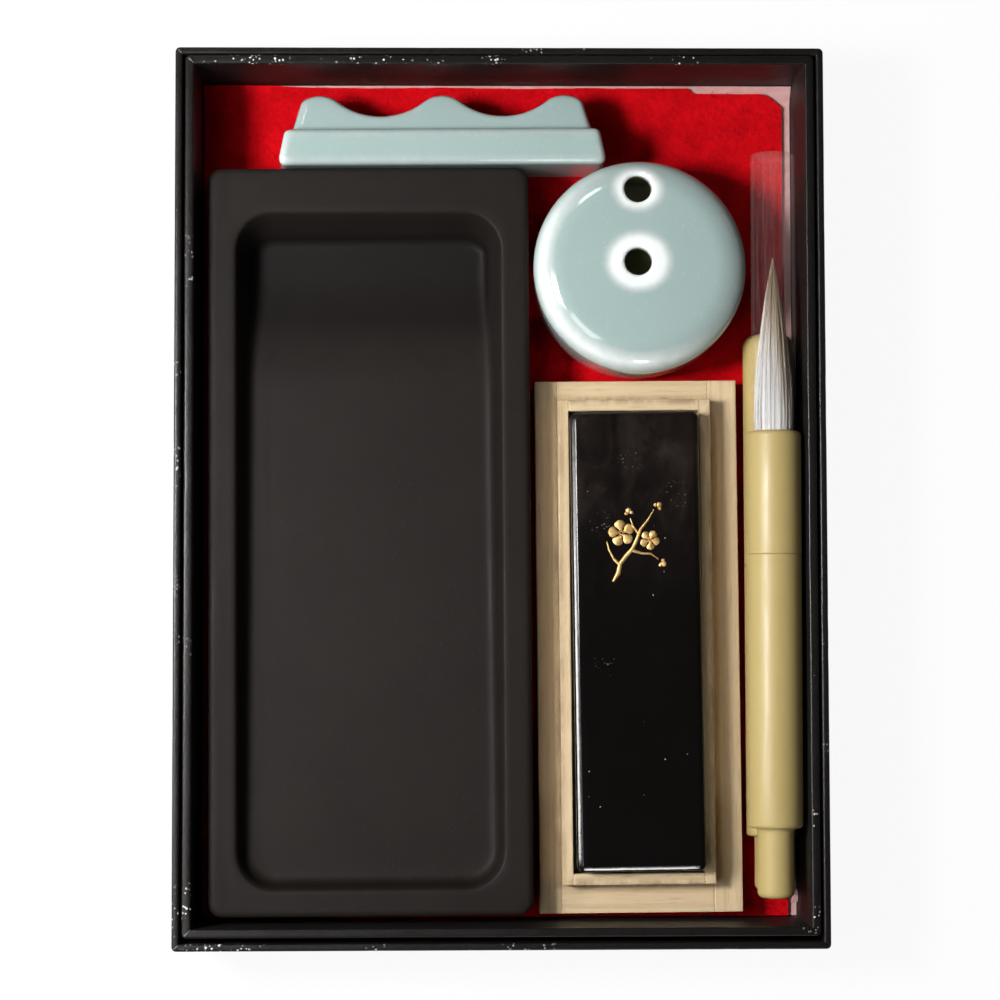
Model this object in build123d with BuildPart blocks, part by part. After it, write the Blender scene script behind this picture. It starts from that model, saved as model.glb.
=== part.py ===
"""Calligraphy set box: a paper-covered tray nested in its own upturned lid, holding an inkstone, a water
dropper, a brush rest, a cased ink stick and two capped brushes on a red felt sheet.

Millimetres, +Z up. The origin is the centre of the lid's underside, which rests on the table.
+Y runs towards the brush rest and +X towards the brushes. The tray is made to fit what it holds, and the
lid to fit over the tray, so their sizes follow from the pieces inside and the gaps round them.
"""

import os
from math import radians, sin

from build123d import *

os.makedirs("parts", exist_ok=True)

# ---------------------------------------------------------------- lid and tray boards
lid_board = 1.6
lid_panel_thickness = 2.0
lid_rim_drop = 0.4
lid_side_gap = 0.6
lid_end_gap = 0.7
tray_board = 2.0
tray_base_thickness = 2.0
tray_rim_clearance = 0.2
tray_shift = 0.5
board_corner_round = 1.0
board_rim_round = 0.45

# ---------------------------------------------------------------- felt sheet and its backing card
lining_clearance = 0.2
card_thickness = 0.4
felt_thickness = 1.0
felt_short_at_back_left = 0.5
felt_short_at_back_right = 2.9
felt_short_at_right = 1.3
felt_corner_cut = 6.5

# ---------------------------------------------------------------- inkstone
stone_width = 70.8
stone_length = 164.2
stone_thickness = 17.5
stone_side_gap = 2.65
stone_front_gap = 1.9
stone_turn = 0.25
stone_corner_round = 3.2
stone_edge_round = 1.3
stone_foot_round = 0.6
well_side_wall = 6.4
well_front_wall = 6.1
well_back_wall = 10.2
well_corner_round = 9.0
well_wall_slope = 16.0
well_floor_round = 2.4
well_rim_round = 0.8
land_depth_at_front = 4.6
land_depth_at_sea = 6.6
sea_depth = 10.5
sea_floor_length = 12.0
sea_slope_length = 26.0

# ---------------------------------------------------------------- water dropper
dropper_radius = 23.5
dropper_height = 22.0
dropper_side_gap = 0.75
dropper_front_gap = 0.9
dropper_overhang = 1.5
dropper_wall = 2.6
dropper_crown = 0.9
dropper_shoulder_round = 5.2
dropper_heel_round = 4.2
dropper_foot_recess = 0.8
dropper_recess_radius = 16.0
filling_hole_radius = 3.0
filling_hole_x = -0.6
filling_hole_y = 0.6
hole_spacing = 16.15
hole_lip_round = 0.7

# ---------------------------------------------------------------- brush rest, lying on its back
rest_foot_length = 72.9
rest_foot_flare = 1.65
rest_foot_depth = 19.5
rest_block_height = 8.0
rest_ridge_inset = 1.5
rest_ridge_foot_depth = 13.0
rest_ridge_top_depth = 8.5
rest_peak_height = 16.5
rest_valley_height = 11.6
rest_peak_reach = 6.1
rest_peak_round = 6.5
rest_crease_round = 1.2
rest_edge_round = 1.5
rest_end_offset = 7.05
rest_turn = 0.35
rest_gap = 0.35
rest_back_gap = 4.85

# ---------------------------------------------------------------- ink case and ink stick
case_narrowing = 2.0
case_offset = -0.15
case_front_gap = 1.7
case_shoulder_height = 8.0
case_left_board = 4.9
case_right_board = 6.3
case_front_board = 6.6
case_back_board = 4.6
case_floor_thickness = 4.5
case_turn = 0.4
lip_board = 2.4
lip_rise = 5.0
case_edge_round = 0.35
stick_side_gap = 0.4
stick_end_gap = 0.8
stick_thickness = 13.5
stick_turn = 0.7
stick_corner_round = 1.5
stick_edge_round = 1.0

# ---------------------------------------------------------------- brushes
brush_gap = 0.2
cap_clearance = 0.1
joint_clearance = 0.05

brush_offset = 0.67
brush_turn = -0.2
brush_rear_gap = 5.7
brush_radius = 6.0
brush_tail_radius = 4.0
brush_tail_length = 15.2
brush_rear_length = 59.6
brush_front_length = 27.1
brush_mouth_depth = 5.0
brush_mouth_wall = 0.6
brush_tuft_length = 38.3
brush_tuft_clearance = 0.3
brush_tuft_root = 6.0
brush_cap_wall = 0.55
brush_cap_length = 61.5

spare_side_gap = 0.35
spare_wall_gap = 0.65
spare_rear_gap = 6.4
spare_radius = 5.7
spare_tail_radius = 3.9
spare_tail_length = 12.0
spare_handle_length = 60.0
spare_cap_wall = 1.0
spare_collar_length = 6.0
spare_collar_root = 8.0
spare_tuft_length = 27.0
spare_tuft_radius = 3.2
spare_tuft_root = 5.0
spare_cap_length = 51.9

barrel_wall = 1.4
plug_length = 5.0
cap_end_thickness = 1.2
cap_end_round = 3.0
tail_end_round = 1.4
barrel_edge_round = 0.4
tuft_tip_radius = 0.25
tuft_belly_share = 0.45
tuft_shoulder_share = 0.72
tuft_shoulder_radius_share = 0.75

# ---------------------------------------------------------------- sizes that follow from the pieces inside
lining_thickness = card_thickness + felt_thickness
brush_stack_height = 2 * (brush_gap + spare_radius + brush_radius)
tray_height = tray_base_thickness + lining_thickness + brush_stack_height + tray_rim_clearance
tray_inner_width = (
    stone_side_gap + stone_width + dropper_side_gap + 2 * dropper_radius + spare_side_gap
    + 2 * spare_radius + spare_wall_gap
)
tray_inner_length = stone_front_gap + stone_length + rest_gap + rest_peak_height + rest_back_gap
tray_width = tray_inner_width + 2 * tray_board
tray_length = tray_inner_length + 2 * tray_board
tray_inner_front = tray_shift - tray_inner_length / 2
tray_z = lid_panel_thickness
lid_width = tray_width + 2 * (lid_side_gap + lid_board)
lid_length = tray_length + 2 * (lid_end_gap + lid_board)
lid_height = tray_z + tray_height - lid_rim_drop

stone_x = -tray_inner_width / 2 + stone_side_gap + stone_width / 2
stone_y = tray_inner_front + stone_front_gap + stone_length / 2
stone_right = stone_x + stone_width / 2
stone_back = stone_y + stone_length / 2
dropper_x = stone_right + dropper_side_gap + dropper_radius
dropper_y = stone_back + dropper_overhang - dropper_radius
case_front = tray_inner_front + case_front_gap
case_back = dropper_y - dropper_radius - dropper_front_gap
case_width = 2 * dropper_radius - case_narrowing
case_length = case_back - case_front
case_x = dropper_x + case_offset
case_y = (case_front + case_back) / 2
spare_x = dropper_x + dropper_radius + spare_side_gap + spare_radius
brush_x = spare_x - brush_offset


def finish(piece, node):
    """Labels a finished piece and writes it as its own STEP file."""
    piece.part.label = node
    export_step(piece.part, f"parts/{node}.step")


def turned_plane(x, y, z, turn):
    """A level plane at a point, turned about +Z by the given degrees."""
    return Plane((x, y, z)).rotated((0, 0, turn))


# ================================================================ boxes made of glued boards
def box_boards(prefix, width, length, height, board, floor_thickness, y, z):
    """The floor, two sides and two ends of an open box whose underside centre is at (0, y, z)."""
    inner_width = width - 2 * board
    inner_length = length - 2 * board

    with BuildPart() as floor:
        with BuildSketch(Plane((0, y, z))):
            Rectangle(inner_width, inner_length)
        extrude(amount=floor_thickness)
    finish(floor, f"{prefix}_floor")

    for name, sign in (("left", -1), ("right", 1)):
        with BuildPart() as side:
            with BuildSketch(Plane((sign * (width - board) / 2, y, z))):
                Rectangle(board, length)
            extrude(amount=height)
            outer_corners = side.edges().filter_by(Axis.Z).group_by(Axis.X)[-1 if sign > 0 else 0]
            fillet(outer_corners, board_corner_round)
            rim_lines = side.faces().sort_by(Axis.Z)[-1].edges().filter_by(Axis.Y)
            fillet(rim_lines, board_rim_round)
        finish(side, f"{prefix}_side_{name}")

    for name, sign in (("front", -1), ("back", 1)):
        with BuildPart() as end:
            with BuildSketch(Plane((0, y + sign * (length - board) / 2, z))):
                Rectangle(inner_width, board)
            extrude(amount=height)
            rim_lines = end.faces().sort_by(Axis.Z)[-1].edges().filter_by(Axis.X)
            fillet(rim_lines, board_rim_round)
        finish(end, f"{prefix}_end_{name}")


box_boards("lid", lid_width, lid_length, lid_height, lid_board, lid_panel_thickness, 0, 0)
box_boards("tray", tray_width, tray_length, tray_height, tray_board, tray_base_thickness,
           tray_shift, tray_z)


# ================================================================ felt sheet on its backing card
card_z = tray_z + tray_base_thickness
felt_z = card_z + card_thickness
felt_top = card_z + lining_thickness
lining_width = tray_inner_width - 2 * lining_clearance
lining_length = tray_inner_length - 2 * lining_clearance
lining_right = lining_width / 2
lining_back = lining_length / 2

with BuildPart() as felt_backing:
    with BuildSketch(Plane((0, tray_shift, card_z))):
        Rectangle(lining_width, lining_length)
    extrude(amount=card_thickness)
finish(felt_backing, "felt_backing")

felt_right = lining_right - felt_short_at_right
felt_back_left = lining_back - felt_short_at_back_left
felt_back_right = lining_back - felt_short_at_back_right
with BuildPart() as red_felt:
    with BuildSketch(Plane((0, tray_shift, felt_z))):
        with BuildLine():
            Polyline(
                (felt_right, felt_back_right - felt_corner_cut),
                (felt_right, -lining_back),
                (-lining_right, -lining_back),
                (-lining_right, felt_back_left),
                (felt_right - felt_corner_cut, felt_back_right),
            )
            RadiusArc(
                (felt_right - felt_corner_cut, felt_back_right),
                (felt_right, felt_back_right - felt_corner_cut),
                felt_corner_cut,
            )
        make_face()
    extrude(amount=felt_thickness)
finish(red_felt, "red_felt")


# ================================================================ inkstone
stone_plane = turned_plane(stone_x, stone_y, felt_top, stone_turn)
well_front = well_front_wall - stone_length / 2
well_back = stone_length / 2 - well_back_wall
well_shift = (well_front + well_back) / 2
well_width = stone_width - 2 * well_side_wall
well_length = well_back - well_front
sea_front = well_back - sea_floor_length
land_back = sea_front - sea_slope_length
land_start = (well_front, stone_thickness - land_depth_at_front)
land_end = (land_back, stone_thickness - land_depth_at_sea)
sea_start = (sea_front, stone_thickness - sea_depth)
land_fall = (land_depth_at_front - land_depth_at_sea) / (land_back - well_front)
stone_side_plane = Plane(stone_plane.origin, x_dir=stone_plane.y_dir, z_dir=stone_plane.x_dir)


def wall_edges(solid):
    """The edges where a hollow's downward floor faces meet its walls, each in one floor face only."""
    floor_faces = [face for face in solid.faces() if face.normal_at().Z < -0.5]
    edges = [edge for face in floor_faces for edge in face.edges()]
    return [edge for edge in edges if sum(edge.is_same(other) for other in edges) == 1]


with BuildPart() as well:
    with BuildSketch(stone_plane.offset(stone_thickness)):
        with Locations((0, well_shift)):
            RectangleRounded(well_width, well_length, well_corner_round)
    extrude(amount=-sea_depth, taper=well_wall_slope)
    with BuildSketch(stone_side_plane.offset(-well_width / 2)):
        with BuildLine():
            Polyline(
                land_end,
                land_start,
                (well_front, stone_thickness),
                (well_back, stone_thickness),
                (well_back, stone_thickness - sea_depth),
                sea_start,
            )
            Spline(land_end, sea_start, tangents=((1, land_fall), (1, 0)))
        make_face()
    extrude(amount=well_width, mode=Mode.INTERSECT)
    fillet(wall_edges(well), well_floor_round)

with BuildPart() as inkstone:
    with BuildSketch(stone_plane):
        RectangleRounded(stone_width, stone_length, stone_corner_round)
    extrude(amount=stone_thickness)
    fillet(inkstone.faces().sort_by(Axis.Z)[-1].edges(), stone_edge_round)
    fillet(inkstone.faces().sort_by(Axis.Z)[0].edges(), stone_foot_round)
    add(well.part, mode=Mode.SUBTRACT)
    well_rim = inkstone.faces().sort_by(Axis.Z)[-1].inner_wires()[0].edges()
    fillet(well_rim, well_rim_round)
finish(inkstone, "inkstone")


# ================================================================ water dropper
dropper_plane = Plane((dropper_x, dropper_y, felt_top))
dropper_side_plane = Plane(dropper_plane.origin, x_dir=(1, 0, 0), z_dir=(0, -1, 0))
dropper_axis = Axis(dropper_plane.origin, (0, 0, 1))


def turned_drum(radius, bottom, top, crown, heel_round, shoulder_round):
    """A drum with a slightly domed top, turned about the dropper's axis."""
    with BuildPart() as drum:
        with BuildSketch(dropper_side_plane):
            with BuildLine():
                Polyline((0, top), (0, bottom), (radius, bottom), (radius, top - crown))
                ThreePointArc((radius, top - crown), (radius / 2, top - crown / 4), (0, top))
            make_face()
        revolve(axis=dropper_axis)
        for end, size in ((0, heel_round), (-1, shoulder_round)):
            rings = drum.edges().filter_by(GeomType.CIRCLE).filter_by(Plane.XY)
            fillet(rings.group_by(SortBy.RADIUS)[-1].sort_by(Axis.Z)[end], size)
    return drum


dropper_cavity = turned_drum(
    dropper_radius - dropper_wall,
    dropper_foot_recess + dropper_wall,
    dropper_height - dropper_wall,
    dropper_crown,
    dropper_heel_round - dropper_wall,
    dropper_shoulder_round - dropper_wall,
)
dropper_outside = turned_drum(
    dropper_radius, 0, dropper_height, dropper_crown, dropper_heel_round, dropper_shoulder_round
)
filling_holes = [(filling_hole_x, filling_hole_y), (filling_hole_x, filling_hole_y + hole_spacing)]
with BuildPart() as water_dropper:
    add(dropper_outside.part)
    add(dropper_cavity.part, mode=Mode.SUBTRACT)
    with BuildSketch(dropper_plane):
        Circle(dropper_recess_radius)
    extrude(amount=dropper_foot_recess, mode=Mode.SUBTRACT)
    with BuildSketch(dropper_plane.offset(dropper_height / 2)):
        with Locations(*filling_holes):
            Circle(filling_hole_radius)
    extrude(amount=dropper_height, mode=Mode.SUBTRACT)
    hole_walls = water_dropper.faces().filter_by(GeomType.CYLINDER).filter_by(
        lambda face: abs(face.radius - filling_hole_radius) < joint_clearance
    )
    fillet([wall.edges().sort_by(Axis.Z)[-1] for wall in hole_walls], hole_lip_round)
finish(water_dropper, "water_dropper")


# ================================================================ brush rest
rest_foot_y = stone_back + rest_gap + rest_foot_length / 2 * sin(radians(rest_turn))
rest_x = dropper_x - rest_end_offset - rest_foot_length / 2
rest_plane = turned_plane(rest_x, rest_foot_y, felt_top, rest_turn)
rest_end_plane = Plane(rest_plane.origin, x_dir=rest_plane.y_dir, z_dir=rest_plane.x_dir)

rest_block_length = rest_foot_length - 2 * rest_foot_flare
rest_ridge_length = rest_block_length - 2 * rest_ridge_inset
rest_peak_pitch = rest_ridge_length / 2 - rest_peak_reach
half_pitch = rest_peak_pitch / 2
valley_drop = rest_peak_height - rest_valley_height
arc_radii = (half_pitch**2 + valley_drop**2) / (2 * valley_drop)
tangent_share = rest_peak_round / arc_radii
tangent_x = half_pitch * tangent_share
tangent_y = rest_peak_height - rest_peak_round + (arc_radii - valley_drop) * tangent_share
peak_centres = [-rest_peak_pitch, 0, rest_peak_pitch]
ridge_end = rest_peak_pitch + tangent_x


def on_crease(edge):
    """Whether an edge lies where the ridge rises from the top of the block."""
    middle = rest_plane.to_local_coords(edge @ 0.5)
    return (
        abs(middle.Y - rest_block_height) < joint_clearance
        and abs(middle.X) < (rest_block_length + rest_ridge_length) / 4
        and abs(middle.Z - rest_foot_depth / 2) < (rest_foot_depth + rest_ridge_foot_depth) / 4
    )


with BuildPart() as brush_rest:
    with BuildSketch(rest_plane):
        with BuildLine():
            Polyline(
                (-ridge_end, tangent_y),
                (-rest_ridge_length / 2, rest_block_height),
                (-rest_block_length / 2, rest_block_height),
                (-rest_foot_length / 2, 0),
                (rest_foot_length / 2, 0),
                (rest_block_length / 2, rest_block_height),
                (rest_ridge_length / 2, rest_block_height),
                (ridge_end, tangent_y),
            )
            for peak in peak_centres:
                ThreePointArc((peak - tangent_x, tangent_y), (peak, rest_peak_height),
                              (peak + tangent_x, tangent_y))
            for peak in peak_centres[:-1]:
                ThreePointArc((peak + tangent_x, tangent_y), (peak + half_pitch, rest_valley_height),
                              (peak + rest_peak_pitch - tangent_x, tangent_y))
        make_face()
    extrude(amount=rest_foot_depth)
    with BuildSketch(rest_end_plane.offset(-rest_foot_length / 2)):
        with BuildLine():
            middle = rest_foot_depth / 2
            Polyline(
                (0, 0),
                (0, rest_foot_depth),
                (rest_block_height, rest_foot_depth),
                (rest_block_height, middle + rest_ridge_foot_depth / 2),
                (rest_peak_height, middle + rest_ridge_top_depth / 2),
                (rest_peak_height, middle - rest_ridge_top_depth / 2),
                (rest_block_height, middle - rest_ridge_foot_depth / 2),
                (rest_block_height, 0),
                close=True,
            )
        make_face()
    extrude(amount=rest_foot_length, mode=Mode.INTERSECT)
    fillet([edge for edge in brush_rest.edges() if not on_crease(edge)], rest_edge_round)
    fillet([edge for edge in brush_rest.edges() if on_crease(edge)], rest_crease_round)
finish(brush_rest, "brush_rest")


# ================================================================ ink case and ink stick
case_plane = turned_plane(case_x, case_y, felt_top, case_turn)


def case_strip(node, width, length, height, x, y, z):
    """One straight wooden piece of the case, placed in the case's own turned frame."""
    with BuildPart() as strip:
        with BuildSketch(case_plane.offset(z)):
            with Locations((x, y)):
                Rectangle(width, length)
        extrude(amount=height)
        chamfer(strip.edges(), case_edge_round)
    finish(strip, node)


case_inner_width = case_width - case_left_board - case_right_board
case_inner_length = case_length - case_front_board - case_back_board
case_inner_x = (case_left_board - case_right_board) / 2
case_inner_y = (case_front_board - case_back_board) / 2
lip_height = case_shoulder_height + lip_rise - case_floor_thickness
stick_width = case_inner_width - 2 * (lip_board + stick_side_gap)
stick_length = case_inner_length - 2 * (lip_board + stick_end_gap)
case_strip("case_floor", case_inner_width, case_inner_length, case_floor_thickness,
           case_inner_x, case_inner_y, 0)
for name, sign, board in (("left", -1, case_left_board), ("right", 1, case_right_board)):
    case_strip(f"case_side_{name}", board, case_length, case_shoulder_height,
               sign * (case_width - board) / 2, 0, 0)
    case_strip(f"case_lip_{name}", lip_board, case_inner_length, lip_height,
               case_inner_x + sign * (case_inner_width - lip_board) / 2, case_inner_y,
               case_floor_thickness)
for name, sign, board in (("front", -1, case_front_board), ("back", 1, case_back_board)):
    case_strip(f"case_end_{name}", case_inner_width, board, case_shoulder_height,
               case_inner_x, sign * (case_length - board) / 2, 0)
    case_strip(f"case_lip_{name}", case_inner_width - 2 * lip_board, lip_board, lip_height,
               case_inner_x, case_inner_y + sign * (case_inner_length - lip_board) / 2,
               case_floor_thickness)

with BuildPart() as ink_stick:
    with BuildSketch(turned_plane(case_x + case_inner_x, case_y + case_inner_y,
                                  felt_top + case_floor_thickness, stick_turn)):
        RectangleRounded(stick_width, stick_length, stick_corner_round)
    extrude(amount=stick_thickness)
    fillet(ink_stick.faces().sort_by(Axis.Z)[-1].edges(), stick_edge_round)
    fillet(ink_stick.faces().sort_by(Axis.Z)[0].edges(), stick_edge_round)
finish(ink_stick, "ink_stick")


# ================================================================ brushes
def brush_plane(x, rear_y, z, turn):
    """A level plane at a brush's rear end, with its X axis running along the brush."""
    return Plane((x, rear_y, z)).rotated((0, 0, 90 + turn))


def turned_piece(node, plane, outline, bore=None, rounds=()):
    """A piece turned about a brush's axis from (distance, radius) corners, with an optional bore.

    Each entry of rounds is (distance, radius, size) and rounds the outer edge at that place.
    """
    axis = Axis(plane.origin, plane.x_dir)
    with BuildPart() as piece:
        with BuildSketch(plane):
            Polygon(*outline, align=None)
        revolve(axis=axis)
        if bore:
            with BuildSketch(plane):
                Polygon(*bore, align=None)
            revolve(axis=axis, mode=Mode.SUBTRACT)
        for distance, radius, size in rounds:
            rings = piece.edges().filter_by(GeomType.CIRCLE).filter_by(
                lambda ring: abs(ring.radius - radius) < joint_clearance / 2
            )
            fillet(rings.sort_by_distance(plane.from_local_coords((distance, 0, 0)))[0], size)
    finish(piece, node)


def barrel_tube(node, plane, start, end, radius):
    """A hollow moulded barrel between two distances along a brush."""
    bore_radius = radius - barrel_wall
    turned_piece(
        node,
        plane,
        [(start, 0), (start, radius), (end, radius), (end, 0)],
        bore=[(start, 0), (start, bore_radius), (end, bore_radius), (end, 0)],
        rounds=[(start, radius, barrel_edge_round), (end, radius, barrel_edge_round)],
    )


def tail_plug(node, plane, length, radius, barrel_radius):
    """The narrow peg at a brush's rear, with the plug that holds it in the barrel's bore."""
    plug_radius = barrel_radius - barrel_wall - joint_clearance
    turned_piece(
        node,
        plane,
        [(0, 0), (0, radius), (length, radius), (length, plug_radius),
         (length + plug_length, plug_radius), (length + plug_length, 0)],
        rounds=[(0, radius, tail_end_round)],
    )


def closed_cap(node, plane, mouth, length, radius, bore_radius):
    """A round-ended cap open at its mouth, which faces the brush's rear."""
    end = mouth + length
    bore_end = end - cap_end_thickness
    turned_piece(
        node,
        plane,
        [(mouth, 0), (mouth, radius), (end, radius), (end, 0)],
        bore=[(mouth, 0), (mouth, bore_radius), (bore_end, bore_radius), (bore_end, 0)],
        rounds=[(bore_end, bore_radius, cap_end_round - cap_end_thickness), (end, radius, cap_end_round)],
    )


def tuft(node, plane, mouth, root, length, radius):
    """A pointed tuft of hair whose cylindrical root is held behind the mouth."""
    tip = mouth + length
    with BuildPart() as hair:
        with BuildSketch(plane):
            with BuildLine():
                Polyline((tip, tuft_tip_radius), (tip, 0), (mouth - root, 0), (mouth - root, radius),
                         (mouth, radius))
                Bezier(
                    (mouth, radius),
                    (mouth + length * tuft_belly_share, radius),
                    (mouth + length * tuft_shoulder_share, radius * tuft_shoulder_radius_share),
                    (tip, tuft_tip_radius),
                )
            make_face()
        revolve(axis=Axis(plane.origin, plane.x_dir))
    finish(hair, node)


spare_z = felt_top + brush_gap + spare_radius
brush_z = spare_z + spare_radius + brush_gap + brush_radius

# The upper brush: tail peg, rear and front barrels, tuft, and a clear cap seated in the barrel's mouth.
brush_axis_plane = brush_plane(brush_x, tray_inner_front + brush_rear_gap, brush_z, brush_turn)
rear_end = brush_tail_length + brush_rear_length
front_end = rear_end + brush_front_length
mouth_floor = front_end - brush_mouth_depth
front_plug_radius = brush_radius - barrel_wall - joint_clearance
mouth_radius = brush_radius - brush_mouth_wall
brush_cap_radius = mouth_radius - joint_clearance
brush_tuft_radius = brush_cap_radius - brush_cap_wall - brush_tuft_clearance
root_hole_radius = brush_tuft_radius + joint_clearance

tail_plug("brush_tail", brush_axis_plane, brush_tail_length, brush_tail_radius, brush_radius)
barrel_tube("brush_rear_barrel", brush_axis_plane, brush_tail_length, rear_end, brush_radius)
turned_piece(
    "brush_front_barrel",
    brush_axis_plane,
    [(rear_end - plug_length, 0), (rear_end - plug_length, front_plug_radius),
     (rear_end, front_plug_radius), (rear_end, brush_radius), (front_end, brush_radius), (front_end, 0)],
    bore=[(mouth_floor - brush_tuft_root, 0), (mouth_floor - brush_tuft_root, root_hole_radius),
          (mouth_floor, root_hole_radius), (mouth_floor, mouth_radius), (front_end, mouth_radius),
          (front_end, 0)],
    rounds=[(rear_end, brush_radius, barrel_edge_round), (front_end, brush_radius, barrel_edge_round)],
)
tuft("brush_tuft", brush_axis_plane, front_end, brush_tuft_root + brush_mouth_depth,
     brush_tuft_length, brush_tuft_radius)
closed_cap("brush_cap", brush_axis_plane, mouth_floor, brush_mouth_depth + brush_cap_length,
           brush_cap_radius, brush_cap_radius - brush_cap_wall)

# The spare brush beneath it: tail peg, handle, collar, tuft, and an opaque cap over the collar.
spare_axis_plane = brush_plane(spare_x, tray_inner_front + spare_rear_gap, spare_z, 0)
handle_end = spare_tail_length + spare_handle_length
collar_end = handle_end + spare_collar_length
spare_collar_radius = spare_radius - spare_cap_wall - cap_clearance
collar_plug_radius = spare_radius - barrel_wall - joint_clearance
spare_root_radius = spare_tuft_radius + joint_clearance

tail_plug("spare_tail", spare_axis_plane, spare_tail_length, spare_tail_radius, spare_radius)
barrel_tube("spare_handle", spare_axis_plane, spare_tail_length, handle_end, spare_radius)
turned_piece(
    "spare_collar",
    spare_axis_plane,
    [(handle_end - spare_collar_root, 0), (handle_end - spare_collar_root, collar_plug_radius),
     (handle_end, collar_plug_radius), (handle_end, spare_collar_radius),
     (collar_end, spare_collar_radius), (collar_end, 0)],
    bore=[(collar_end - spare_tuft_root, 0), (collar_end - spare_tuft_root, spare_root_radius),
          (collar_end, spare_root_radius), (collar_end, 0)],
)
tuft("spare_tuft", spare_axis_plane, collar_end, spare_tuft_root, spare_tuft_length, spare_tuft_radius)
closed_cap("spare_cap", spare_axis_plane, handle_end, spare_cap_length, spare_radius,
           spare_collar_radius + cap_clearance)
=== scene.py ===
"""Dresses the calligraphy set box: covered boards, felt, inkstone, glazed pieces, wood, ink and brushes.

Sizes are in millimetres until a mesh is made, and in metres in the node trees. The frame is the CAD
model's: +Z up, +Y towards the brush rest, +X towards the brushes.
"""

import logging
import math
from collections.abc import Callable, Sequence
from dataclasses import dataclass
from enum import Enum
from typing import ClassVar

import bmesh
import bpy
from bpy.types import Material, Mesh, Node, NodeSocket, NodeTree, Object
from mathutils import Matrix, Vector, geometry, noise


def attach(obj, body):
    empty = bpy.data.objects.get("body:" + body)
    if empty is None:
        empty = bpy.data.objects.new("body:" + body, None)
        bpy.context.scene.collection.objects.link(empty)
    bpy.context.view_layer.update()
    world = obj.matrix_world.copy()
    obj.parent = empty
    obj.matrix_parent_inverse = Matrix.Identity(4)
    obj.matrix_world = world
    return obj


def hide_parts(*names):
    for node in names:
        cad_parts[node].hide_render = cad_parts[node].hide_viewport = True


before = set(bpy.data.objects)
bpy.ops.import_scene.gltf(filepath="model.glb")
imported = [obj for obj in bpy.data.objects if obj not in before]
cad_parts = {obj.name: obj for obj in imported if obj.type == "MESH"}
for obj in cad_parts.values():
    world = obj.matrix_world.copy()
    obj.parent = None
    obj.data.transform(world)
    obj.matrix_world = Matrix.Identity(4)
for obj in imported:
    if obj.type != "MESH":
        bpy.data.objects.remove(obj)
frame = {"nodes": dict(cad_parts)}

LOG = logging.getLogger("calligraphy_set_box")
MM = 0.001
FULL_TURN = 2 * math.pi
SAME_PLACE = 0.002
FIT = 0.05
JOINT_EASE = 0.22
TURNED_CREASE = 40.0
CAP_STEPS = 96
Point = tuple[float, float]
Triple = tuple[float, float, float]
Colour = tuple[float, float, float, float]
Faces = list[tuple[int, ...]]
Loop = list[Vector]

# Where white glints are painted on the covering paper's rims, as (x, y, reach).
LID_GLINTS: tuple[Triple, ...] = ((-60.0, -97.0, 9.0), (-69.0, -90.0, 5.0))
TRAY_GLINTS: tuple[Triple, ...] = (
    (-60.0, 96.0, 5.0), (-54.0, 96.0, 5.0), (-49.0, 96.0, 3.5), (-37.0, 96.0, 2.2), (-31.5, 96.0, 2.2),
    (-26.0, 96.0, 2.6), (-21.0, 96.0, 2.2), (-14.5, 96.0, 2.4), (-1.5, 96.0, 2.2), (40.0, 95.5, 4.0),
    (-68.0, -88.0, 5.0), (66.0, -70.0, 3.0), (67.0, -92.0, 3.0))


class Body(Enum):
    """The CAD bodies that the pieces ride on."""

    LID = "lid"
    TRAY = "tray"
    INKSTONE = "inkstone"
    DROPPER = "dropper"
    REST = "rest"
    CASE = "case"
    STICK = "stick"
    SPARE = "spare_brush"
    SPARE_CAP = "spare_brush_cap"
    BRUSH = "brush"
    CLEAR_CAP = "clear_cap"


class Slot(Enum):
    """The record's material slots."""

    PAPER = "covered_board"
    CARD = "white_card"
    FELT = "red_felt"
    STONE = "inkstone"
    CELADON = "celadon"
    WOOD = "paulownia"
    INK = "ink_cake"
    KHAKI = "khaki_plastic"
    CLEAR = "clear_plastic"
    HAIR = "brush_hair"


# ------------------------------------------------------------------------------------ numbers
def sine(degrees: float) -> float:
    """The sine of an angle in degrees."""
    return math.sin(math.radians(degrees))


def cosine(degrees: float) -> float:
    """The cosine of an angle in degrees."""
    return math.cos(math.radians(degrees))


def tangent(degrees: float) -> float:
    """The tangent of an angle in degrees."""
    return math.tan(math.radians(degrees))


def clamped(value: float) -> float:
    """A value held between 0 and 1."""
    return min(max(value, 0.0), 1.0)


def wander(x: float, y: float, z: float, size: float) -> float:
    """Smooth noise from about -1 to 1 at a place, with features of the given size."""
    return noise.noise(Vector((x / size, y / size, z / size)))


def circle(steps: int) -> list[float]:
    """Equally spaced angles round a full turn, in radians."""
    return [FULL_TURN * i / steps for i in range(steps)]


def flat_ring(radius: float, steps: int, centre: Point = (0.0, 0.0)) -> list[Point]:
    """Points round a flat circle."""
    x, y = centre
    return [(x + radius * math.cos(a), y + radius * math.sin(a)) for a in circle(steps)]


def arc(centre: Point, radius: float, start: float, end: float, steps: int) -> list[Point]:
    """Points on an arc between two angles in degrees, both ends included."""
    angles = [math.radians(start + (end - start) * i / steps) for i in range(steps + 1)]
    return [(centre[0] + radius * math.cos(a), centre[1] + radius * math.sin(a)) for a in angles]


def bezier(a: float, b: float, c: float, s: float) -> float:
    """A value at a share of a quadratic curve."""
    return (1 - s) ** 2 * a + 2 * s * (1 - s) * b + s * s * c


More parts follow.
